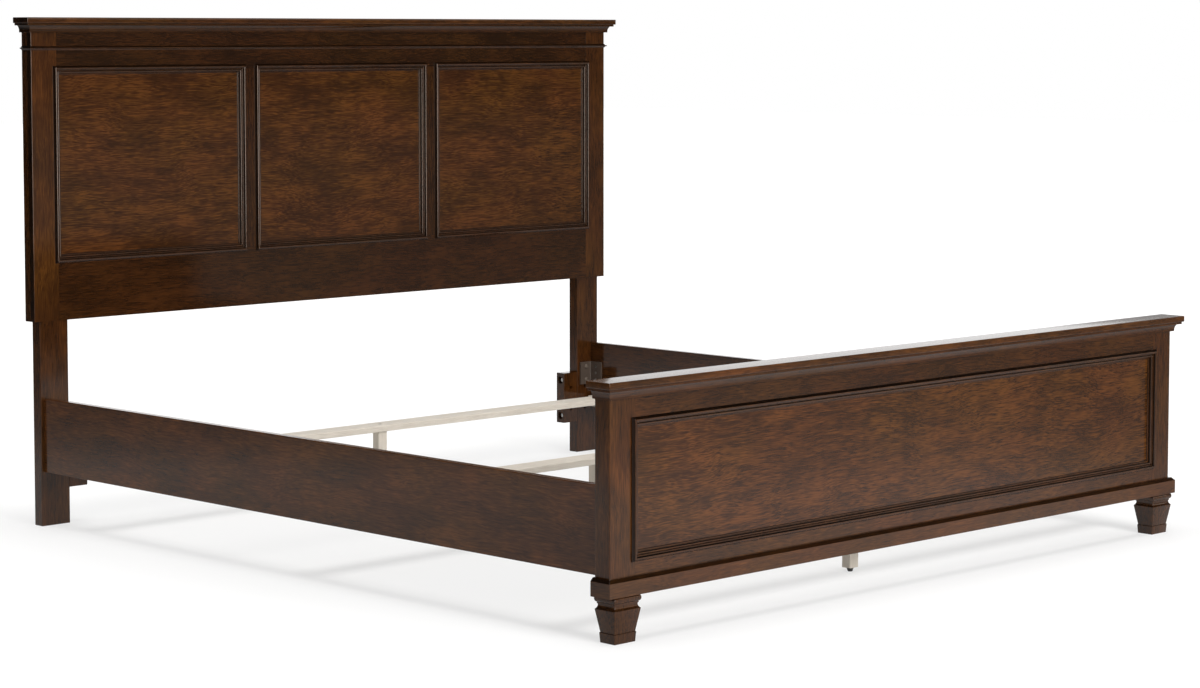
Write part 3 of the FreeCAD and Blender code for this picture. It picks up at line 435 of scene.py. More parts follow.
def wood_tone(tree, noises, line, given):
    """0.5 + Clouds * (clouds + smudges) + Fibres * (flecks + fibres + lines + curl)."""
    part = {name: centred(tree, noises[name], gain) for name, gain in GAINS.items()}
    uneven = maths(tree, "ADD", part["cloud"], part["smudge"])
    uneven = maths(tree, "MULTIPLY", uneven, given["Clouds"])
    fine = maths(tree, "ADD", part["fleck"], part["fibre"])
    fine = maths(tree, "MULTIPLY_ADD", line, RING_GAIN, fine)
    fine = maths(tree, "ADD", fine, part["curl"])
    fine = maths(tree, "MULTIPLY", fine, given["Fibres"])
    return maths(tree, "ADD", maths(tree, "ADD", uneven, fine), 0.5, clamp=True)


def stain_colour(tree, tone, hue, given):
    """Deep to Body over the tone's lower half, Body to Bright over its upper, then a tint."""
    dark_share = maths(tree, "MULTIPLY", tone, 2.0, clamp=True)
    bright_share = maths(tree, "MULTIPLY_ADD", tone, 2.0, -1.0, clamp=True)
    colour = mix_colour(tree, dark_share, given["Deep"], given["Body"])
    colour = mix_colour(tree, bright_share, colour, given["Bright"])
    tint = mix_colour(tree, ramp(tree, hue, *HUE_EDGE), ORANGE, REDDER)
    return mix_colour(tree, given["Hues"], colour, tint, blend_type="MULTIPLY")


print("gains", GAINS)

# %% [markdown]
# Faces that look upwards and faces that look sideways are made darker too, as painted shade.
# One node group makes all of this, so that every board shares one wood. Its vector is in
# metres, X along the grain, and its other inputs say how strong each effect is.

# %% The stained wood group
GROUP_INPUTS = {
    "NodeSocketVector": ("Vector",),
    "NodeSocketColor": ("Deep", "Body", "Bright"),
    "NodeSocketFloat": ("Clouds", "Fibres", "Hues", "UpShade", "Edged"),
}
GROUP_OUTPUTS = {"NodeSocketColor": ("Color",), "NodeSocketFloat": ("Roughness", "Height")}
UP_SHADE_RAMP = (0.2, 0.7)
SIDE_SHADE_RAMP = (0.5, 0.9)
ROUGHNESS = 0.44
FLECK_ROUGHNESS = -0.14
CLOUD_ROUGHNESS = 0.12
LINE_HEIGHT = 0.3


def add_sockets(group, direction, kinds):
    """The group's named sockets on one side, by kind."""
    for kind, names in kinds.items():
        for name in names:
            group.interface.new_socket(name, in_out=direction, socket_type=kind)


def painted_facing_shade(tree, colour, given):
    """Painted shade: colour darkened by one share on faces that look up, another on sideways
    ones.
    """
    facing = shader_node(tree, "ShaderNodeTexCoord").outputs["Normal"]
    facing = shader_node(tree, "ShaderNodeSeparateXYZ", {0: facing}).outputs
    sideways = maths(tree, "ABSOLUTE", facing["X"])
    # painted shade: faces that look upwards and faces that look sideways are made darker
    up_shade = maths(tree, "MULTIPLY", ramp(tree, facing["Z"], *UP_SHADE_RAMP), given["UpShade"])
    side_shade = maths(tree, "MULTIPLY", ramp(tree, sideways, *SIDE_SHADE_RAMP), given["Edged"])
    left = maths(tree, "SUBTRACT", 1.0, maths(tree, "ADD", up_shade, side_shade), clamp=True)
    return shader_node(
        tree, "ShaderNodeVectorMath", {0: colour, "Scale": left}, operation="SCALE"
    ).outputs[0]


def stained_wood_group():
    """Colour, roughness and height of stained wood from a vector along its grain."""
    group = bpy.data.node_groups.new("stained_wood", "ShaderNodeTree")
    add_sockets(group, "INPUT", GROUP_INPUTS)
    add_sockets(group, "OUTPUT", GROUP_OUTPUTS)
    given = shader_node(group, "NodeGroupInput").outputs
    noises = wood_noises(group, given["Vector"])
    line = growth_lines(group, noises["ring"])
    tone = wood_tone(group, noises, line, given)
    colour = painted_facing_shade(group, stain_colour(group, tone, noises["hue"], given), given)
    rough = maths(group, "MULTIPLY_ADD", noises["fleck"], FLECK_ROUGHNESS, ROUGHNESS)
    rough = maths(group, "MULTIPLY_ADD", noises["cloud"], CLOUD_ROUGHNESS, rough)
    height = maths(group, "MULTIPLY_ADD", line, LINE_HEIGHT, noises["fleck"])
    results = {"Color": colour, "Roughness": rough, "Height": height}
    shader_node(group, "NodeGroupOutput", results)
    return group


STAINED_WOOD = stained_wood_group()
print("group", STAINED_WOOD.name, "with", len(STAINED_WOOD.nodes), "nodes")

# %% [markdown]
# Each piece gets its own cut of that wood: the grain runs along the piece, and the pattern
# is shifted so that no two pieces match. The group gives the colour, and the shader itself,
# with its gloss, stays in the piece's own material.

# %% A material for one wooden piece
GRAIN_TURNS = {
    "x": (0, 0, 0),
    "y": (0, 0, -math.pi / 2),
    "z": (0, math.pi / 2, 0),
    "uv": (0, 0, 0),
}
BUMP_DEPTH = 0.00025


def grain_vector(tree, along, shift):
    """Object coordinates turned so that X runs along the grain, or the piece's own UV."""
    place = shader_node(tree, "ShaderNodeTexCoord").outputs
    source = place["UV"] if along == "uv" else place["Object"]
    inputs = {"Vector": source, "Location": shift, "Rotation": GRAIN_TURNS[along]}
    return shader_node(tree, "ShaderNodeMapping", inputs).outputs[0]


def bumped_surface(tree, sockets, height, strength, depth):
    """A Principled shader with those sockets and a bump, as the material's surface."""
    inputs = {"Height": height, "Strength": strength, "Distance": depth}
    normal = shader_node(tree, "ShaderNodeBump", inputs).outputs[0]
    shader = shader_node(tree, "ShaderNodeBsdfPrincipled", sockets | {"Normal": normal})
    shader_node(tree, "ShaderNodeOutputMaterial", {"Surface": shader.outputs[0]})


def wood_material(name, along, shift, stain, shares, shine, bump):
    """The group's colour and roughness, with the shader's other sockets from shine."""
    material = bpy.data.materials.new(name)
    tree = empty_tree(material)
    inputs = {"Vector": grain_vector(tree, along, shift)} | shares
    inputs |= {shade: colour + (1,) for shade, colour in stain.items()}
    wood = shader_node(tree, "ShaderNodeGroup", inputs, node_tree=STAINED_WOOD).outputs
    sockets = {"Base Color": wood["Color"], "Roughness": wood["Roughness"]} | shine
    bumped_surface(tree, sockets, wood["Height"], bump, BUMP_DEPTH)
    return material


print("grain directions", list(GRAIN_TURNS))

# %% [markdown]
# On the dark pieces the tone is a little lighter or darker from board to board, partly as
# stain takes differently on each and partly as painted light: the near side rail and the
# footboard's pieces are toned lighter, as if more light fell on them. The lacquer over it is
# the shader's coat, which hardly shows head-on but mirrors the white studio at a grazing
# look, as on top of the caps. The wood under it has almost no gloss of its own.

# %% Dark wood under lacquer
FRAME_STAIN = {
    "Deep": (0.020, 0.0066, 0.0012),
    "Body": (0.038, 0.0125, 0.0021),
    "Bright": (0.070, 0.0232, 0.0040),
}
LACQUER = {"IOR": 1.1, "Coat Weight": 1.0, "Coat Roughness": 0.1, "Coat IOR": 1.5}
PLAIN_FIGURE = {"Clouds": 0.8, "Fibres": 0.5, "Hues": 1.0}
WOOD_BUMP = 0.35
CUT_SHIFT = (0.73, 0.29, 0.41)
CUTS = {  # the number of the first cut in each group of pieces
    "boards": 1,
    "panels": 40,
    "panel_mouldings": 50,
    "wrapped_mouldings": 60,
    "feet": 70,
    "slats": 80,
    "support_legs": 83,
    "ledgers": 90,
}


def stained_wood(name, along, tone, cut, stain=FRAME_STAIN, **shares):
    """One cut of the dark wood, toned and lacquered."""
    shift = tuple(cut * part for part in CUT_SHIFT)
    toned = {shade: tuple(part * tone for part in colour) for shade, colour in stain.items()}
    figure = PLAIN_FIGURE | shares
    return wood_material(f"wood_{name}", along, shift, toned, figure, LACQUER, WOOD_BUMP)


def give(node, material):
    """Put a material on a ready-made piece, in place of the one it came with."""
    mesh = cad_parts[node].data
    mesh.materials.clear()
    mesh.materials.append(material)


print("stain", FRAME_STAIN["Body"])

# %% [markdown]
# Which way the grain runs is joinery, not taste: uprights are sawn with the grain up, rails
# and caps with the grain along the bed's width, and the side rails with it along the bed.
# The cap and the stiles of the headboard are darkened on their faces that look sideways, as
# painted shade.

# %% Stain the boards
BOARDS = {  # which way the grain runs, and the tone
    "headboard_cap": ("x", 1.25),
    "headboard_top_rail": ("x", 0.66),
    "headboard_bottom_rail": ("x", 0.8),
    "headboard_left_stile": ("z", 1.35),
    "headboard_right_stile": ("z", 1.2),
    "headboard_left_mullion": ("z", 0.85),
    "headboard_right_mullion": ("z", 0.85),
    "headboard_left_side_board": ("z", 1.0),
    "headboard_right_side_board": ("z", 1.0),
    "headboard_back_top_rail": ("x", 1.0),
    "headboard_back_bottom_rail": ("x", 1.0),
    "headboard_left_leg": ("z", 1.2),
    "headboard_right_leg": ("z", 1.2),
    "left_leg_block": ("z", 1.1),
    "right_leg_block": ("z", 1.1),
    # toned lighter than the right rail: painted light on the near rail's outer face
    "left_side_rail": ("y", 1.62),
    "right_side_rail": ("y", 1.0),
    # the footboard's boards are toned lighter, partly as painted light
    "footboard_cap": ("x", 1.45),
    "footboard_top_rail": ("x", 1.05),
    "footboard_bottom_rail": ("x", 1.45),
    "footboard_left_post": ("z", 1.38),
    "footboard_right_post": ("z", 1.15),
}
# painted shade on the faces of these boards that look sideways
SIDE_SHADED_BOARDS = ("headboard_cap", "headboard_left_stile", "headboard_right_stile")
BOARD_SIDE_SHADE = 0.75
for cut, (node, (along, tone)) in enumerate(BOARDS.items(), start=CUTS["boards"]):
    side_shade = BOARD_SIDE_SHADE if node in SIDE_SHADED_BOARDS else 0.0
    give(node, stained_wood(node, along, tone, cut, Edged=side_shade))
print("boards stained", len(BOARDS))

# %% [markdown]
# The four panels are faced with a livelier veneer, which takes the stain lighter and has
# stronger clouds and more curl than the solid boards round them.

# %% Face the panels
PANEL_STAIN = {
    "Deep": (0.028, 0.0092, 0.0016),
    "Body": (0.054, 0.0177, 0.0030),
    "Bright": (0.098, 0.0328, 0.0057),
}
PANEL_FIGURE = {"Clouds": 1.0, "Fibres": 0.8}
PANELS = {  # the tone
    "headboard_left_panel": 1.04,
    "headboard_middle_panel": 1.03,
    "headboard_right_panel": 1.02,
    "footboard_panel": 1.08,
}
for cut, (node, tone) in enumerate(PANELS.items(), start=CUTS["panels"]):
    give(node, stained_wood(node, "x", tone, cut, PANEL_STAIN, **PANEL_FIGURE))
print("panels faced", len(PANELS))

# %% [markdown]
# A mesh can be written as rings of points: each ring is one row of a grid, the grid's rows
# wrap round, and the first and last rings are closed with a flat face. A stick of moulding
# is such a tube with two rings, a turned glide one with many. Numpy works out all the
# points at once, and one function turns any number of tubes into one piece.

# %% A helper that makes a piece from tubes
SHARP_ANGLE = math.radians(32)


def tube_faces(rings, around, first):
    """Quads (i, j), (i, j + 1), (i + 1, j + 1), (i + 1, j), with both ends closed."""
    index = first + np.arange(rings * around).reshape(rings, around)
    here, there = index[:-1], index[1:]
    corners = (here, np.roll(here, -1, 1), np.roll(there, -1, 1), there)
    quads = np.stack(corners, -1).reshape(-1, 4)
    return quads.tolist() + [index[0, ::-1].tolist(), index[-1].tolist()]


def shade_smooth(mesh):
    """Smooth shading that stops at edges sharper than SHARP_ANGLE."""
    mesh.polygons.foreach_set("use_smooth", [True] * len(mesh.polygons))
    mesh.set_sharp_from_angle(angle=SHARP_ANGLE)


def make_piece(name, tubes, material, body, stands_for, coordinates=None):
    """One object from tubes of shape (rings, around, 3), smooth except at sharp angles."""
    faces = []
    first = 0
    for tube in tubes:
        rings, around = tube.shape[:2]
        faces += tube_faces(rings, around, first)
        first += rings * around
    points = np.concatenate([tube.reshape(-1, 3) for tube in tubes])
    mesh = bpy.data.meshes.new(name)
    mesh.from_pydata(points.tolist(), [], faces)
    if coordinates is not None:
        flat = np.concatenate([part.reshape(-1, 2) for part in coordinates])
        corner = np.zeros(len(mesh.loops), np.int32)
        mesh.loops.foreach_get("vertex_index", corner)
        layer = mesh.uv_layers.new(name="along_grain")
        layer.data.foreach_set("uv", flat[corner].astype(np.float32).ravel())
    shade_smooth(mesh)
    mesh.materials.append(material)
    mesh.validate()
    piece = bpy.data.objects.new(name, mesh)
    bpy.context.collection.objects.link(piece)
    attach(piece, body)
    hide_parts(*stands_for)
    print(name, len(mesh.polygons), "faces")
    return piece


print("edges sharper than", round(math.degrees(SHARP_ANGLE)), "degrees stay sharp")

# %% [markdown]
# The solid model's boards have knife-sharp arrises, which catch no light. Those that show
# most are copied, their loose triangles are joined, and the copies are eased with a narrow
# bevel, as sandpaper does before staining.

# %% Ease the boards' arrises
EASE_BOARD = 0.001
EASE_STEPS = 2
SAME_POINT = 1e-6
SAME_PLANE = math.radians(1)
EASED_BOARDS = (
    "headboard_cap",
    "headboard_left_stile",
    "headboard_right_stile",
    "footboard_cap",
    "footboard_left_post",
    "footboard_right_post",
)


def ease_arrises(piece, width):
    """Round the sharp edges, as sandpaper does before staining."""
    bevel = piece.modifiers.new("eased", "BEVEL")
    bevel.width = width
    bevel.segments = EASE_STEPS
    bevel.limit_method = "ANGLE"
    bevel.angle_limit = SHARP_ANGLE
    bevel.harden_normals = True


def joined_copy(node):
    """A new mesh from a node's triangles, with shared points and whole flat faces."""
    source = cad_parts[node].data
    points = np.zeros(len(source.vertices) * 3, np.float32)
    source.vertices.foreach_get("co", points)
    corners = np.zeros(len(source.loops), np.int32)
    source.loops.foreach_get("vertex_index", corners)
    mesh = bpy.data.meshes.new(f"{node}_eased")
    mesh.from_pydata(points.reshape(-1, 3).tolist(), [], corners.reshape(-1, 3).tolist())
    shape = bmesh.new()
    shape.from_mesh(mesh)
    bmesh.ops.remove_doubles(shape, verts=shape.verts, dist=SAME_POINT)
    flat = {"verts": shape.verts, "edges": shape.edges}
    bmesh.ops.dissolve_limit(shape, angle_limit=SAME_PLANE, **flat)
    shape.to_mesh(mesh)
    shape.free()
    mesh.materials.append(source.materials[0])
    shade_smooth(mesh)
    return mesh


for node in EASED_BOARDS:
    mesh = joined_copy(node)
    board = bpy.data.objects.new(mesh.name, mesh)
    bpy.context.collection.objects.link(board)
    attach(board, "bed")
    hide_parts(node)
    ease_arrises(board, EASE_BOARD)
    print(board.name, len(mesh.polygons), "faces")

# %% [markdown]
# Router profiles are drawn as a list of corners. Where a corner carries a radius, the edge
# that leaves it is an arc: it swells out of the wood if the radius is positive and hollows
# into it if negative.

# %% Draw a profile with arcs
MM = 0.001
ARC_STEPS = 9


def arc_points(start, end, radius):
    """ARC_STEPS points from start towards end, on the circle of that radius.

    The centre is the chord's middle, moved along the chord's left normal by
    sqrt(radius^2 - (chord / 2)^2), to the left for a swell and to the right for a hollow.
    """
    start, end = np.array(start, float), np.array(end, float)
    chord = end - start
    length = np.hypot(*chord)
    left = np.array([-chord[1], chord[0]]) / length
    side = math.copysign(1, radius)
    centre = (start + end) / 2 + left * side * math.sqrt(radius ** 2 - (length / 2) ** 2)
    first = math.atan2(*(start - centre)[::-1])
    last = math.atan2(*(end - centre)[::-1])
    sweep = side * ((side * (last - first)) % math.tau)
    angles = first + sweep * np.arange(ARC_STEPS) / ARC_STEPS
    return centre + abs(radius) * np.stack([np.cos(angles), np.sin(angles)], -1)


def profile(corners):
    """The outline through corners given in millimetres, as points in metres."""
    points = []
    for corner, following in zip(corners, corners[1:] + corners[:1]):
        if len(corner) == 3:
            points.append(arc_points(corner[:2], following[:2], corner[2]))
        else:
            points.append(np.array([corner[:2]], float))
    return np.concatenate(points) * MM


CROWN = profile([(0, 0), (7.5, 0), (7.5, 3, -22), (13, 18), (21, 18), (21, 24), (0, 24)])
BEAD = profile(
    [(0, 0), (1, 0, -5), (5.2, 4, 1.5), (6.7, 5.5, 1.5), (5.2, 7, -5), (1, 11), (0, 11)]
)
BASE = profile([(0, 0), (13, 0), (13, 32.5), (6, 40), (0, 40)])
print("profile points", [len(part) for part in (CROWN, BEAD, BASE)])

# %% [markdown]
# A moulding is one profile carried along a run, and where two runs meet both are sawn at
# 45 degrees. A curve with a bevel object could carry it too, but a sharp corner distorts
# it. So a stick is two copies of its profile, and at a mitre each point slides along the
# run by as much as it lies out from the edge. The texture coordinates are the distance
# along the run and round the profile, so the grain turns the corner with the wood.

# %% Carry a profile along a mitred stick
EASE_MOULDING = 0.0004
BOARD_SHIFT = 1.37
MOULDING_FIGURE = {"Clouds": 0.5, "Fibres": 0.4}
# painted shade on the mouldings' faces that look upwards
MOULDING_UP_SHADE = 0.75


def stick(section, start, end, outward, up, slopes, number):
    """A tube of two rings, and its coordinates along the run and round the profile.

    A point (a, h) of the section goes to corner + a * outward + h * up + slope * a * run,
    with the slope 1 or -1 at a mitre and 0 at a square end.
    """
    start, end = np.array(start, float), np.array(end, float)
    outward, up = np.array(outward, float), np.array(up, float)
    run = (end - start) / np.linalg.norm(end - start)
    body = section[:, :1] * outward + section[:, 1:] * up
    first = start + body - section[:, :1] * run * slopes[0]
    last = end + body + section[:, :1] * run * slopes[1]
    rings = np.stack([first, last])
    steps = np.linalg.norm(np.diff(section, axis=0, append=section[:1]), axis=1)
    round_profile = np.concatenate([[0], np.cumsum(steps)[:-1]])
    along = rings @ run + number * BOARD_SHIFT
    coordinates = np.stack([along, np.broadcast_to(round_profile, along.shape)], -1)
    turned_over = np.dot(np.cross(run, outward), up) < 0
    if turned_over:
        return rings[:, ::-1], coordinates[:, ::-1]
    return rings, coordinates


def moulding(node, sticks, tone, cut, side_shade, up_shade=MOULDING_UP_SHADE):
    """A moulding's piece, named after the node that it stands for."""
    # painted shade darkens the faces that look upwards and those that look sideways
    shares = MOULDING_FIGURE | {"UpShade": up_shade, "Edged": side_shade}
    material = stained_wood(node, "uv", tone, cut, **shares)
    tubes, coordinates = zip(*sticks)
    piece = make_piece(
        f"{node}_sticks", tubes, material, "bed", [node], coordinates
    )
    ease_arrises(piece, EASE_MOULDING)


print("moulding arrises eased by", EASE_MOULDING, "m")

# %% [markdown]
# Each panel moulding laps onto its frame and stands in front of it, with a short slope
# outside its stout outer bead. From there it steps down to the panel: a small rounded step,
# a middle bead and a low inner fillet, which draw the thin bright and dark lines round every
# panel, and painted shade on their upward and sideways faces darkens those lines further.
# The list below goes from the panel outwards over them. The node's own box gives the
# moulding's outer edges and its panel's face.

# %% Frame the panels
PANEL_MOULDING = profile(
    [
        (11.5, 0),
        (23.3, 0),
        (23.3, 1.1, 1.5),
        (21.8, 2.6),
        (19.4, 2.6),
        (19.4, 7, 3.2),
        (16.2, 10.2, 3.2),
        (13.3, 8.35),
        (13, 8.35),
        (13, 8.8, 1),
        (12, 9.8),
        (10.4, 9.8),
        (10.4, 13, 4),
        (6.4, 17, 4),
        (2.4, 13),
        (0, 9.5),
        (0, 8),
        (11.5, 8),
    ]
)
PANEL_MOULDINGS = {  # the tone, and how much painted shade darkens the faces that look upwards
    "headboard_left_panel_moulding": (0.85, 0.75),
    "headboard_middle_panel_moulding": (0.85, 0.75),
    "headboard_right_panel_moulding": (0.85, 0.75),
    "footboard_panel_moulding": (1.1, 1.0),
}
# painted shade on the faces of the panel mouldings that look sideways
PANEL_MOULDING_SIDE_SHADE = 0.65


def framed(section, low, high, face):
    """Four mitred sticks round a rectangle, from its outer edge inwards, standing to -Y."""
    corners = [(low[0], low[1]), (high[0], low[1]), (high[0], high[1]), (low[0], high[1])]
    inward = [(0, 0, 1), (-1, 0, 0), (0, 0, -1), (1, 0, 0)]
    sticks = []
    for number, side in enumerate(inward):
        start = (corners[number][0], face, corners[number][1])
        following = corners[(number + 1) % 4]
        end = (following[0], face, following[1])
        sticks.append(stick(section, start, end, side, (0, -1, 0), (-1, -1), number))
    return sticks


for cut, (node, (tone, up_shade)) in enumerate(
    PANEL_MOULDINGS.items(), start=CUTS["panel_mouldings"]
):
    low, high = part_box(node)
    sticks = framed(PANEL_MOULDING, (low.x, low.z), (high.x, high.z), high.y)
    moulding(node, sticks, tone, cut, PANEL_MOULDING_SIDE_SHADE, up_shade)

# %% [markdown]
# Under each cap a crown moulding carries the overhang, a thin bead rings the headboard, and
# a stouter one the foot of the footboard. They return round both ends of the board.

# %% Wrap crowns, bead and base round the boards
WRAPPED_MOULDINGS = {  # the profile, the tone, and how much painted shade darkens its faces that look sideways
    "headboard_crown": (CROWN, 0.9, 0.5),
    "headboard_bead": (BEAD, 0.95, 0.5),
    "footboard_crown": (CROWN, 1.15, 0.0),
    "footboard_base_moulding": (BASE, 1.6, 0.2),
}


def wrapped(section, side, front, back, low):
    """Three sticks round the front and both sides of a frame, mitred at the front."""
    up = (0, 0, 1)
    runs = (
        ((-side, front, low), (side, front, low), (0, -1, 0), (1, 1)),
        ((side, front, low), (side, back, low), (1, 0, 0), (1, 0)),
        ((-side, back, low), (-side, front, low), (-1, 0, 0), (0, 1)),
    )
    return [
        stick(section, start, end, outward, up, slopes, number)
        for number, (start, end, outward, slopes) in enumerate(runs)
    ]


for cut, (node, (section, tone, side_shade)) in enumerate(
    WRAPPED_MOULDINGS.items(), start=CUTS["wrapped_mouldings"]
):
    low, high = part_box(node)
    reach_out = section[:, 0].max()
    sticks = wrapped(section, high.x - reach_out, low.y + reach_out, high.y, low.z)
    moulding(node, sticks, tone, cut, side_shade)

# %% [markdown]
# A foot is square in plan at every height, and one profile shapes all four sides: a pad on
# the floor, a fine groove, a long swell up to a shoulder, a hollow, and a ring under the
# base. Four mouldings mitred round a block would do, but they leave seams at the corners.
# So its surface is a function of two parameters: the height gives how far the sides are
# drawn in, and the way round gives a place on a square with softened corners.

# %% Shape the feet
FOOT_TAPER = 9.3
FOOT_CORNER = 1.6 * MM
CORNER_STEPS = 5
FOOT_TONE = 1.1
# the last two shares darken the foot's upward and sideways faces, as painted shade
FOOT_FIGURE = {"Clouds": 0.6, "Fibres": 0.5, "UpShade": 0.4, "Edged": 0.1}
FOOT_PROFILE_SHARES = [
    (-1.0, 0.0),
    (-0.84, 0.21),
    (-1.0, 0.222),
    (-0.97, 0.24),
    (-0.09, 0.715, -11),
    (-0.58, 0.83),
    (-0.45, 0.83),
    (-0.45, 0.865),
    (-0.3, 0.87, 8),
    (0.0, 0.935, 8),
    (-0.25, 1.0),
]


def rounded_square(across, along):
    """Rings round rectangles with those half sizes, whose corners are quarter circles."""
    quarter = np.linspace(0, math.pi / 2, CORNER_STEPS)
    signs = np.array([(1, 1), (-1, 1), (-1, -1), (1, -1)])
    rings = []
    for number, sign in enumerate(signs):
        turn = quarter if number % 2 == 0 else quarter[::-1]
        round_x = (across[:, None] - FOOT_CORNER + FOOT_CORNER * np.cos(turn)) * sign[0]
        round_y = (along[:, None] - FOOT_CORNER + FOOT_CORNER * np.sin(turn)) * sign[1]
        rings.append(np.stack([round_x, round_y], -1))
    return np.concatenate(rings, 1)


def shaped_foot(node):
    """The foot's surface: half size minus the profile's inset, at the profile's height."""
    low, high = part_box(node)
    size = high - low
    corners = [
        (point[0] * FOOT_TAPER, point[1] * size.z / MM) + tuple(point[2:])
        for point in FOOT_PROFILE_SHARES
    ]
    side = profile(corners)
    plan = rounded_square(size.x / 2 + side[:, 0], size.y / 2 + side[:, 0])
    middle = (low + high) / 2
    level = np.broadcast_to(side[:, 1][:, None], plan.shape[:2])
    return np.concatenate([plan + (middle.x, middle.y), level[..., None] + low.z], -1)


for cut, side in enumerate(("left", "right"), start=CUTS["feet"]):
    node = f"footboard_{side}_foot"
    material = stained_wood(node, "z", FOOT_TONE, cut, **FOOT_FIGURE)
    foot = make_piece(
        f"{node}_shaped", [shaped_foot(node)], material, "bed", [node]
    )
    ease_arrises(foot, EASE_MOULDING)

# %% [markdown]
# The slats, their support legs and the ledgers are plain pale wood with a thin whitewash:
# matte, with hardly any figure and fine fibres along the board.

# %% Whitewash the pale wood
PALE_STAIN = {
    "Deep": (0.53, 0.470, 0.395),
    "Body": (0.64, 0.578, 0.495),
    "Bright": (0.71, 0.65, 0.57),
}
PALE_FIGURE = {"Clouds": 0.4, "Fibres": 0.3, "Hues": 0.0}
PALE_SHIFT = (0.61, 0.37, 0)
PALE_BUMP = 0.2
MATTE = {"Roughness": 0.62}
SLAT_NAMES = ("head", "middle", "foot")


def whitewash(node, along, cut):
    """Give a ready-made piece one cut of the pale wood."""
    shift = tuple(cut * part for part in PALE_SHIFT)
    material = wood_material(
        f"pale_{node}", along, shift, PALE_STAIN, PALE_FIGURE, MATTE, PALE_BUMP
    )
    give(node, material)


for number, name in enumerate(SLAT_NAMES):
    whitewash(f"{name}_slat", "x", CUTS["slats"] + number)
    whitewash(f"{name}_support_leg", "z", CUTS["support_legs"] + number)
for cut, side in enumerate(("left", "right"), start=CUTS["ledgers"]):
    whitewash(f"{side}_ledger", "y", cut)
print("slats", len(SLAT_NAMES))

# %% [markdown]
# Metal and moulded plastic need no figure, only the slight unevenness that tells them from
# plain paint: a powder coat has an orange-peel bump, zinc a mottled brightness, and nylon
# a soft grain.

# %% Metal and plastic finishes
ROUGHNESS_SPREAD = 0.2
FINISH_DETAIL = 3.0
FINISH_BUMP = 0.3
FINISHES = {  # darkest, lightest, cell in mm, roughness, metallic, bump depth in mm
    "brown_powder_coat": ((0.052, 0.036, 0.026), (0.085, 0.060, 0.045), 1.5, 0.45, 0.0, 0.05),
    "zinc_plate": ((0.3, 0.29, 0.27), (0.45, 0.44, 0.42), 2.5, 0.4, 1.0, 0.02),
    # white matte heads for the leg-block bolts: painted light that makes them read as bright
    # discs
    "painted_bright_zinc": ((0.90, 0.90, 0.89), (0.97, 0.97, 0.96), 2.5, 0.6, 0.0, 0.02),
    "bronzed_zinc": ((0.10, 0.075, 0.055), (0.15, 0.115, 0.085), 2.5, 0.5, 0.3, 0.02),
    "black_nylon": ((0.012, 0.012, 0.012), (0.03, 0.03, 0.03), 1.2, 0.5, 0.0, 0.05),
}


def uneven_finish(name, dark, light, cell, roughness, metallic, depth):
    """A finish whose colour and gloss vary over cells of that many millimetres."""
    material = bpy.data.materials.new(name)
    tree = empty_tree(material)
    place = shader_node(tree, "ShaderNodeTexCoord").outputs["Object"]
    inputs = {"Vector": place, "Scale": 1 / (cell * MM), "Detail": FINISH_DETAIL}
    grain = shader_node(tree, "ShaderNodeTexNoise", inputs).outputs["Fac"]
    smoothest = roughness - ROUGHNESS_SPREAD / 2
    sockets = {
        "Base Color": mix_colour(tree, grain, dark + (1,), light + (1,)),
        "Roughness": maths(tree, "MULTIPLY_ADD", grain, ROUGHNESS_SPREAD, smoothest),
        "Metallic": metallic,
    }
    bumped_surface(tree, sockets, grain, FINISH_BUMP, depth * MM)
    return material


POWDER_COAT, ZINC, PAINTED_BRIGHT_ZINC, BRONZED_ZINC, NYLON = (
    uneven_finish(name, *values) for name, values in FINISHES.items()
)
for end in ("head", "foot"):
    for side in ("left", "right"):
        give(f"{side}_{end}_angle", POWDER_COAT)
for node in ("foot_bolts", "glide_inserts"):
    give(node, ZINC)
print("finishes", list(FINISHES))

# %% [markdown]
# The solid model knows where each bolt and screw sits, but several share one node. Their
# points are split wherever there is a gap between them, which gives one box a fastener.

# %% Find each fastener of a node
ACROSS_GAP = 0.005
ALONG_GAP = 0.2


def lone_boxes(node, axis):
    """Boxes of a node's solids, split at gaps; a longer gap is allowed along their axis."""
    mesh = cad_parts[node].data
    points = np.zeros(len(mesh.vertices) * 3)
    mesh.vertices.foreach_get("co", points)
    groups = [points.reshape(-1, 3)]
    for direction in range(3):
        gap = ALONG_GAP if direction == axis else ACROSS_GAP
        split = []
        for group in groups:
            ordered = group[np.argsort(group[:, direction])]
            cuts = np.flatnonzero(np.diff(ordered[:, direction]) > gap) + 1
            split += np.split(ordered, cuts)
        groups = split
    return [(group.min(0), group.max(0)) for group in groups]


print("angle bolts", len(lone_boxes("angle_bolts", 1)))

# %% [markdown]
# A bolt is a turned thing: a list of radii and heights, swept round its axis. A socket
# could be cut with a Boolean, but here it is turned too, only that its radius changes with
# the angle: for a hexagon it is the flat's distance over the cosine of the angle from the
# flat's middle, and for a screw's cross it is an arm's half width over the sine of the
# angle from the arm. In the lists below, a round row gives its radius in millimetres, and
# a socket's row its share of the socket.

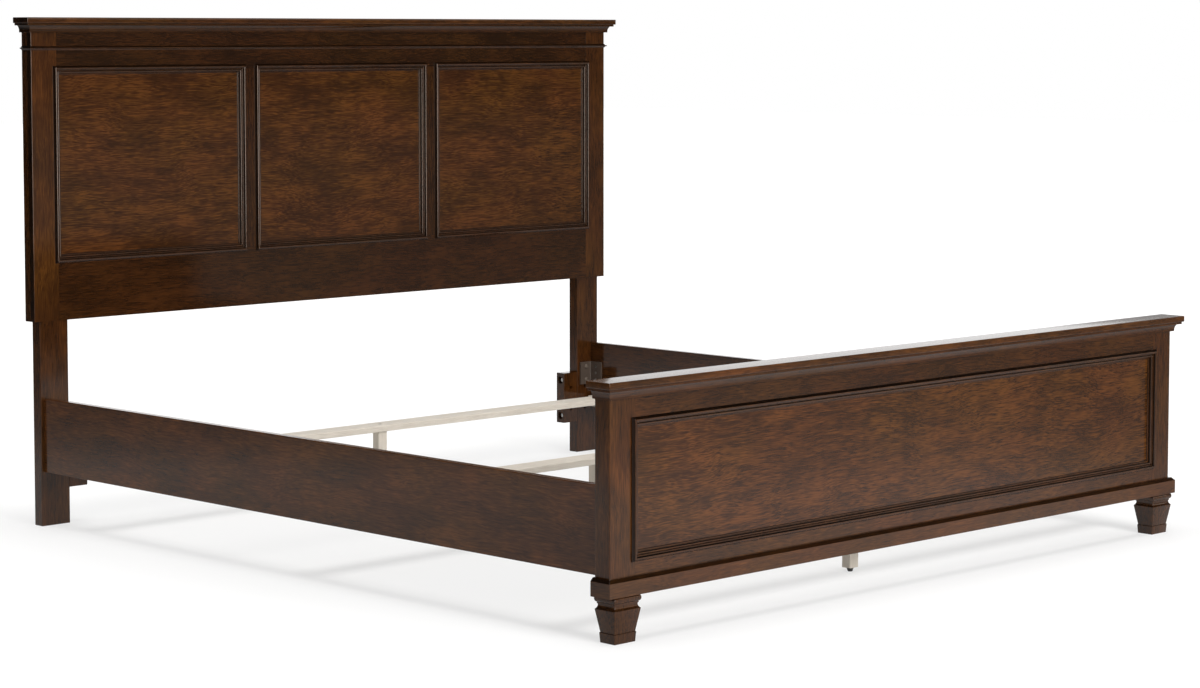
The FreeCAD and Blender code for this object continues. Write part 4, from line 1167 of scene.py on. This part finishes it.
# %% Turn bolts and screws
AROUND = 36
HEX_FLAT = 2.5
CROSS_ARM = 2.3
CROSS_HALF = 0.55
TIP_RADIUS = 0.3
TIP_LENGTH = 1.5
BUTTON_HEAD = [
    (3.0, -4.0, "round"),
    (6.6, -4.0, "round"),
    (7.0, -3.6, "round"),
    (7.0, -2.9, "round"),
    (6.5, -1.9, "round"),
    (5.6, -0.9, "round"),
    (4.5, -0.25, "round"),
    (3.4, 0.0, "round"),
    (1.06, -0.3, "hex"),
    (1.0, -2.5, "hex"),
    (0.3, -2.6, "hex"),
]
COUNTERSUNK_HEAD = [
    (2.0, -2.5, "round"),
    (4.3, -0.2, "round"),
    (4.4, 0.0, "round"),
    (3.4, 0.0, "round"),
    (1.12, -0.05, "cross"),
    (1.0, -0.3, "cross"),
    (0.55, -1.9, "cross"),
    (0.2, -2.0, "cross"),
]


def radius_round(angles, shape, size):
    """Radii at those angles, in millimetres, for a circle or for a share of a socket."""
    if shape == "hex":
        from_flat = (angles + math.pi / 6) % (math.pi / 3) - math.pi / 6
        return size * HEX_FLAT / np.cos(from_flat)
    if shape == "cross":
        from_arm = np.abs((angles + math.pi / 4) % (math.pi / 2) - math.pi / 4)
        arm = CROSS_HALF / np.maximum(np.sin(from_arm), CROSS_HALF / CROSS_ARM)
        return size * np.minimum(arm, CROSS_ARM)
    return np.full_like(angles, size)


def turned_fastener(rows, length, tip, facing, axis):
    """Rings (radius * cos, radius * sin, height) from the tip to the socket's floor.

    tip is the head's outer middle, facing its direction, and length that of the whole.
    """
    angles = np.arange(AROUND) / AROUND * math.tau
    shank = rows[0][0]
    taper_end = -length + TIP_LENGTH * shank
    lower = [(TIP_RADIUS * shank, -length, "round"), (shank, taper_end, "round")]
    rings = []
    for size, height, shape in lower + rows:
        radius = radius_round(angles, shape, size)
        level = np.full_like(angles, height)
        rings.append(np.stack([radius * np.cos(angles), radius * np.sin(angles), level], -1))
    rings = np.stack(rings) * MM
    first = np.roll(np.eye(3)[axis], 1)
    second = np.cross(facing, first)
    return tip + rings @ np.stack([first, second, facing])


def fasteners(node, rows, axis, sense, finish=ZINC):
    """One piece for all of a node's fasteners, whose heads face inwards, or +axis."""
    tubes = []
    for low, high in lone_boxes(node, axis):
        middle = (low + high) / 2
        facing = np.zeros(3)
        facing[axis] = -np.sign(middle[axis]) if sense == "inwards" else 1.0
        head = middle.copy()
        head[axis] = high[axis] if facing[axis] > 0 else low[axis]
        length = (high[axis] - low[axis]) / MM
        tubes.append(turned_fastener(rows, length, head, facing, axis))
    make_piece(f"{node}_turned", tubes, finish, "bed", [node])


fasteners("angle_bolts", BUTTON_HEAD, 1, "inwards", BRONZED_ZINC)
# the leg-block bolts' white heads are painted light
fasteners("leg_block_bolts", BUTTON_HEAD, 0, "inwards", PAINTED_BRIGHT_ZINC)
fasteners("support_bolts", BUTTON_HEAD, 2, "up")
fasteners("angle_screws", COUNTERSUNK_HEAD, 0, "inwards")
fasteners("slat_screws", COUNTERSUNK_HEAD, 2, "up")
fasteners("headboard_leg_screws", COUNTERSUNK_HEAD, 1, "back")

# %% [markdown]
# A levelling glide is a nylon pad moulded on a machine screw. The pad is turned. A Screw
# modifier could wind the thread, but it leaves both ends open; here the radius falls and
# rises once in each pitch, and the place of that groove climbs with the angle, which makes
# the thread a helix on a closed stem.

# %% Cut the glides' threads
THREAD_PITCH = 1.25
THREAD_DEPTH = 0.65
THREAD_RADIUS = 3.95
THREAD_START = 10.3
THREAD_CHAMFER = 1.2
RINGS_A_TURN = 8
PAD_ROWS = [
    (4.6, 0.0),
    (5.2, 0.15),
    (5.8, 0.7),
    (6.3, 1.8),
    (8.4, 8.2),
    (8.85, 8.9),
    (8.95, 9.3),
    (8.8, 9.75),
    (8.4, 10.0),
    (4.1, 10.0),
    (3.3, 10.05),
]


def threaded_glide(node):
    """Rings of the pad, then radius = crest - depth * groove up the stem.

    The groove is the distance of z / pitch - angle / turn from the nearest whole number,
    doubled, so that it runs from 0 to 1 and back in one pitch.
    """
    low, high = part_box(node)
    angles = np.arange(AROUND) / AROUND
    pad_rings = np.array([np.full(AROUND, radius) for radius, _ in PAD_ROWS])
    pad_levels = np.array([np.full(AROUND, level) for _, level in PAD_ROWS])
    top = (high.z - low.z) / MM
    ring_count = int((top - THREAD_START) / THREAD_PITCH * RINGS_A_TURN)
    levels = np.linspace(THREAD_START, top, ring_count)[:, None] + 0 * angles
    phase = levels / THREAD_PITCH - angles
    groove = 2 * np.abs(phase - np.round(phase))
    chamfer = np.clip(levels - (top - THREAD_CHAMFER), 0, None)
    stem_rings = THREAD_RADIUS - np.maximum(THREAD_DEPTH * groove, chamfer)
    radius = np.concatenate([pad_rings, stem_rings])
    level = np.concatenate([pad_levels, levels])
    turn = angles * math.tau
    rings = np.stack([radius * np.cos(turn), radius * np.sin(turn), level], -1) * MM
    middle = (low + high) / 2
    return rings + (middle.x, middle.y, low.z)


for name in SLAT_NAMES:
    node = f"{name}_glide"
    make_piece(f"{node}_pad", [threaded_glide(node)], NYLON, node, [node])
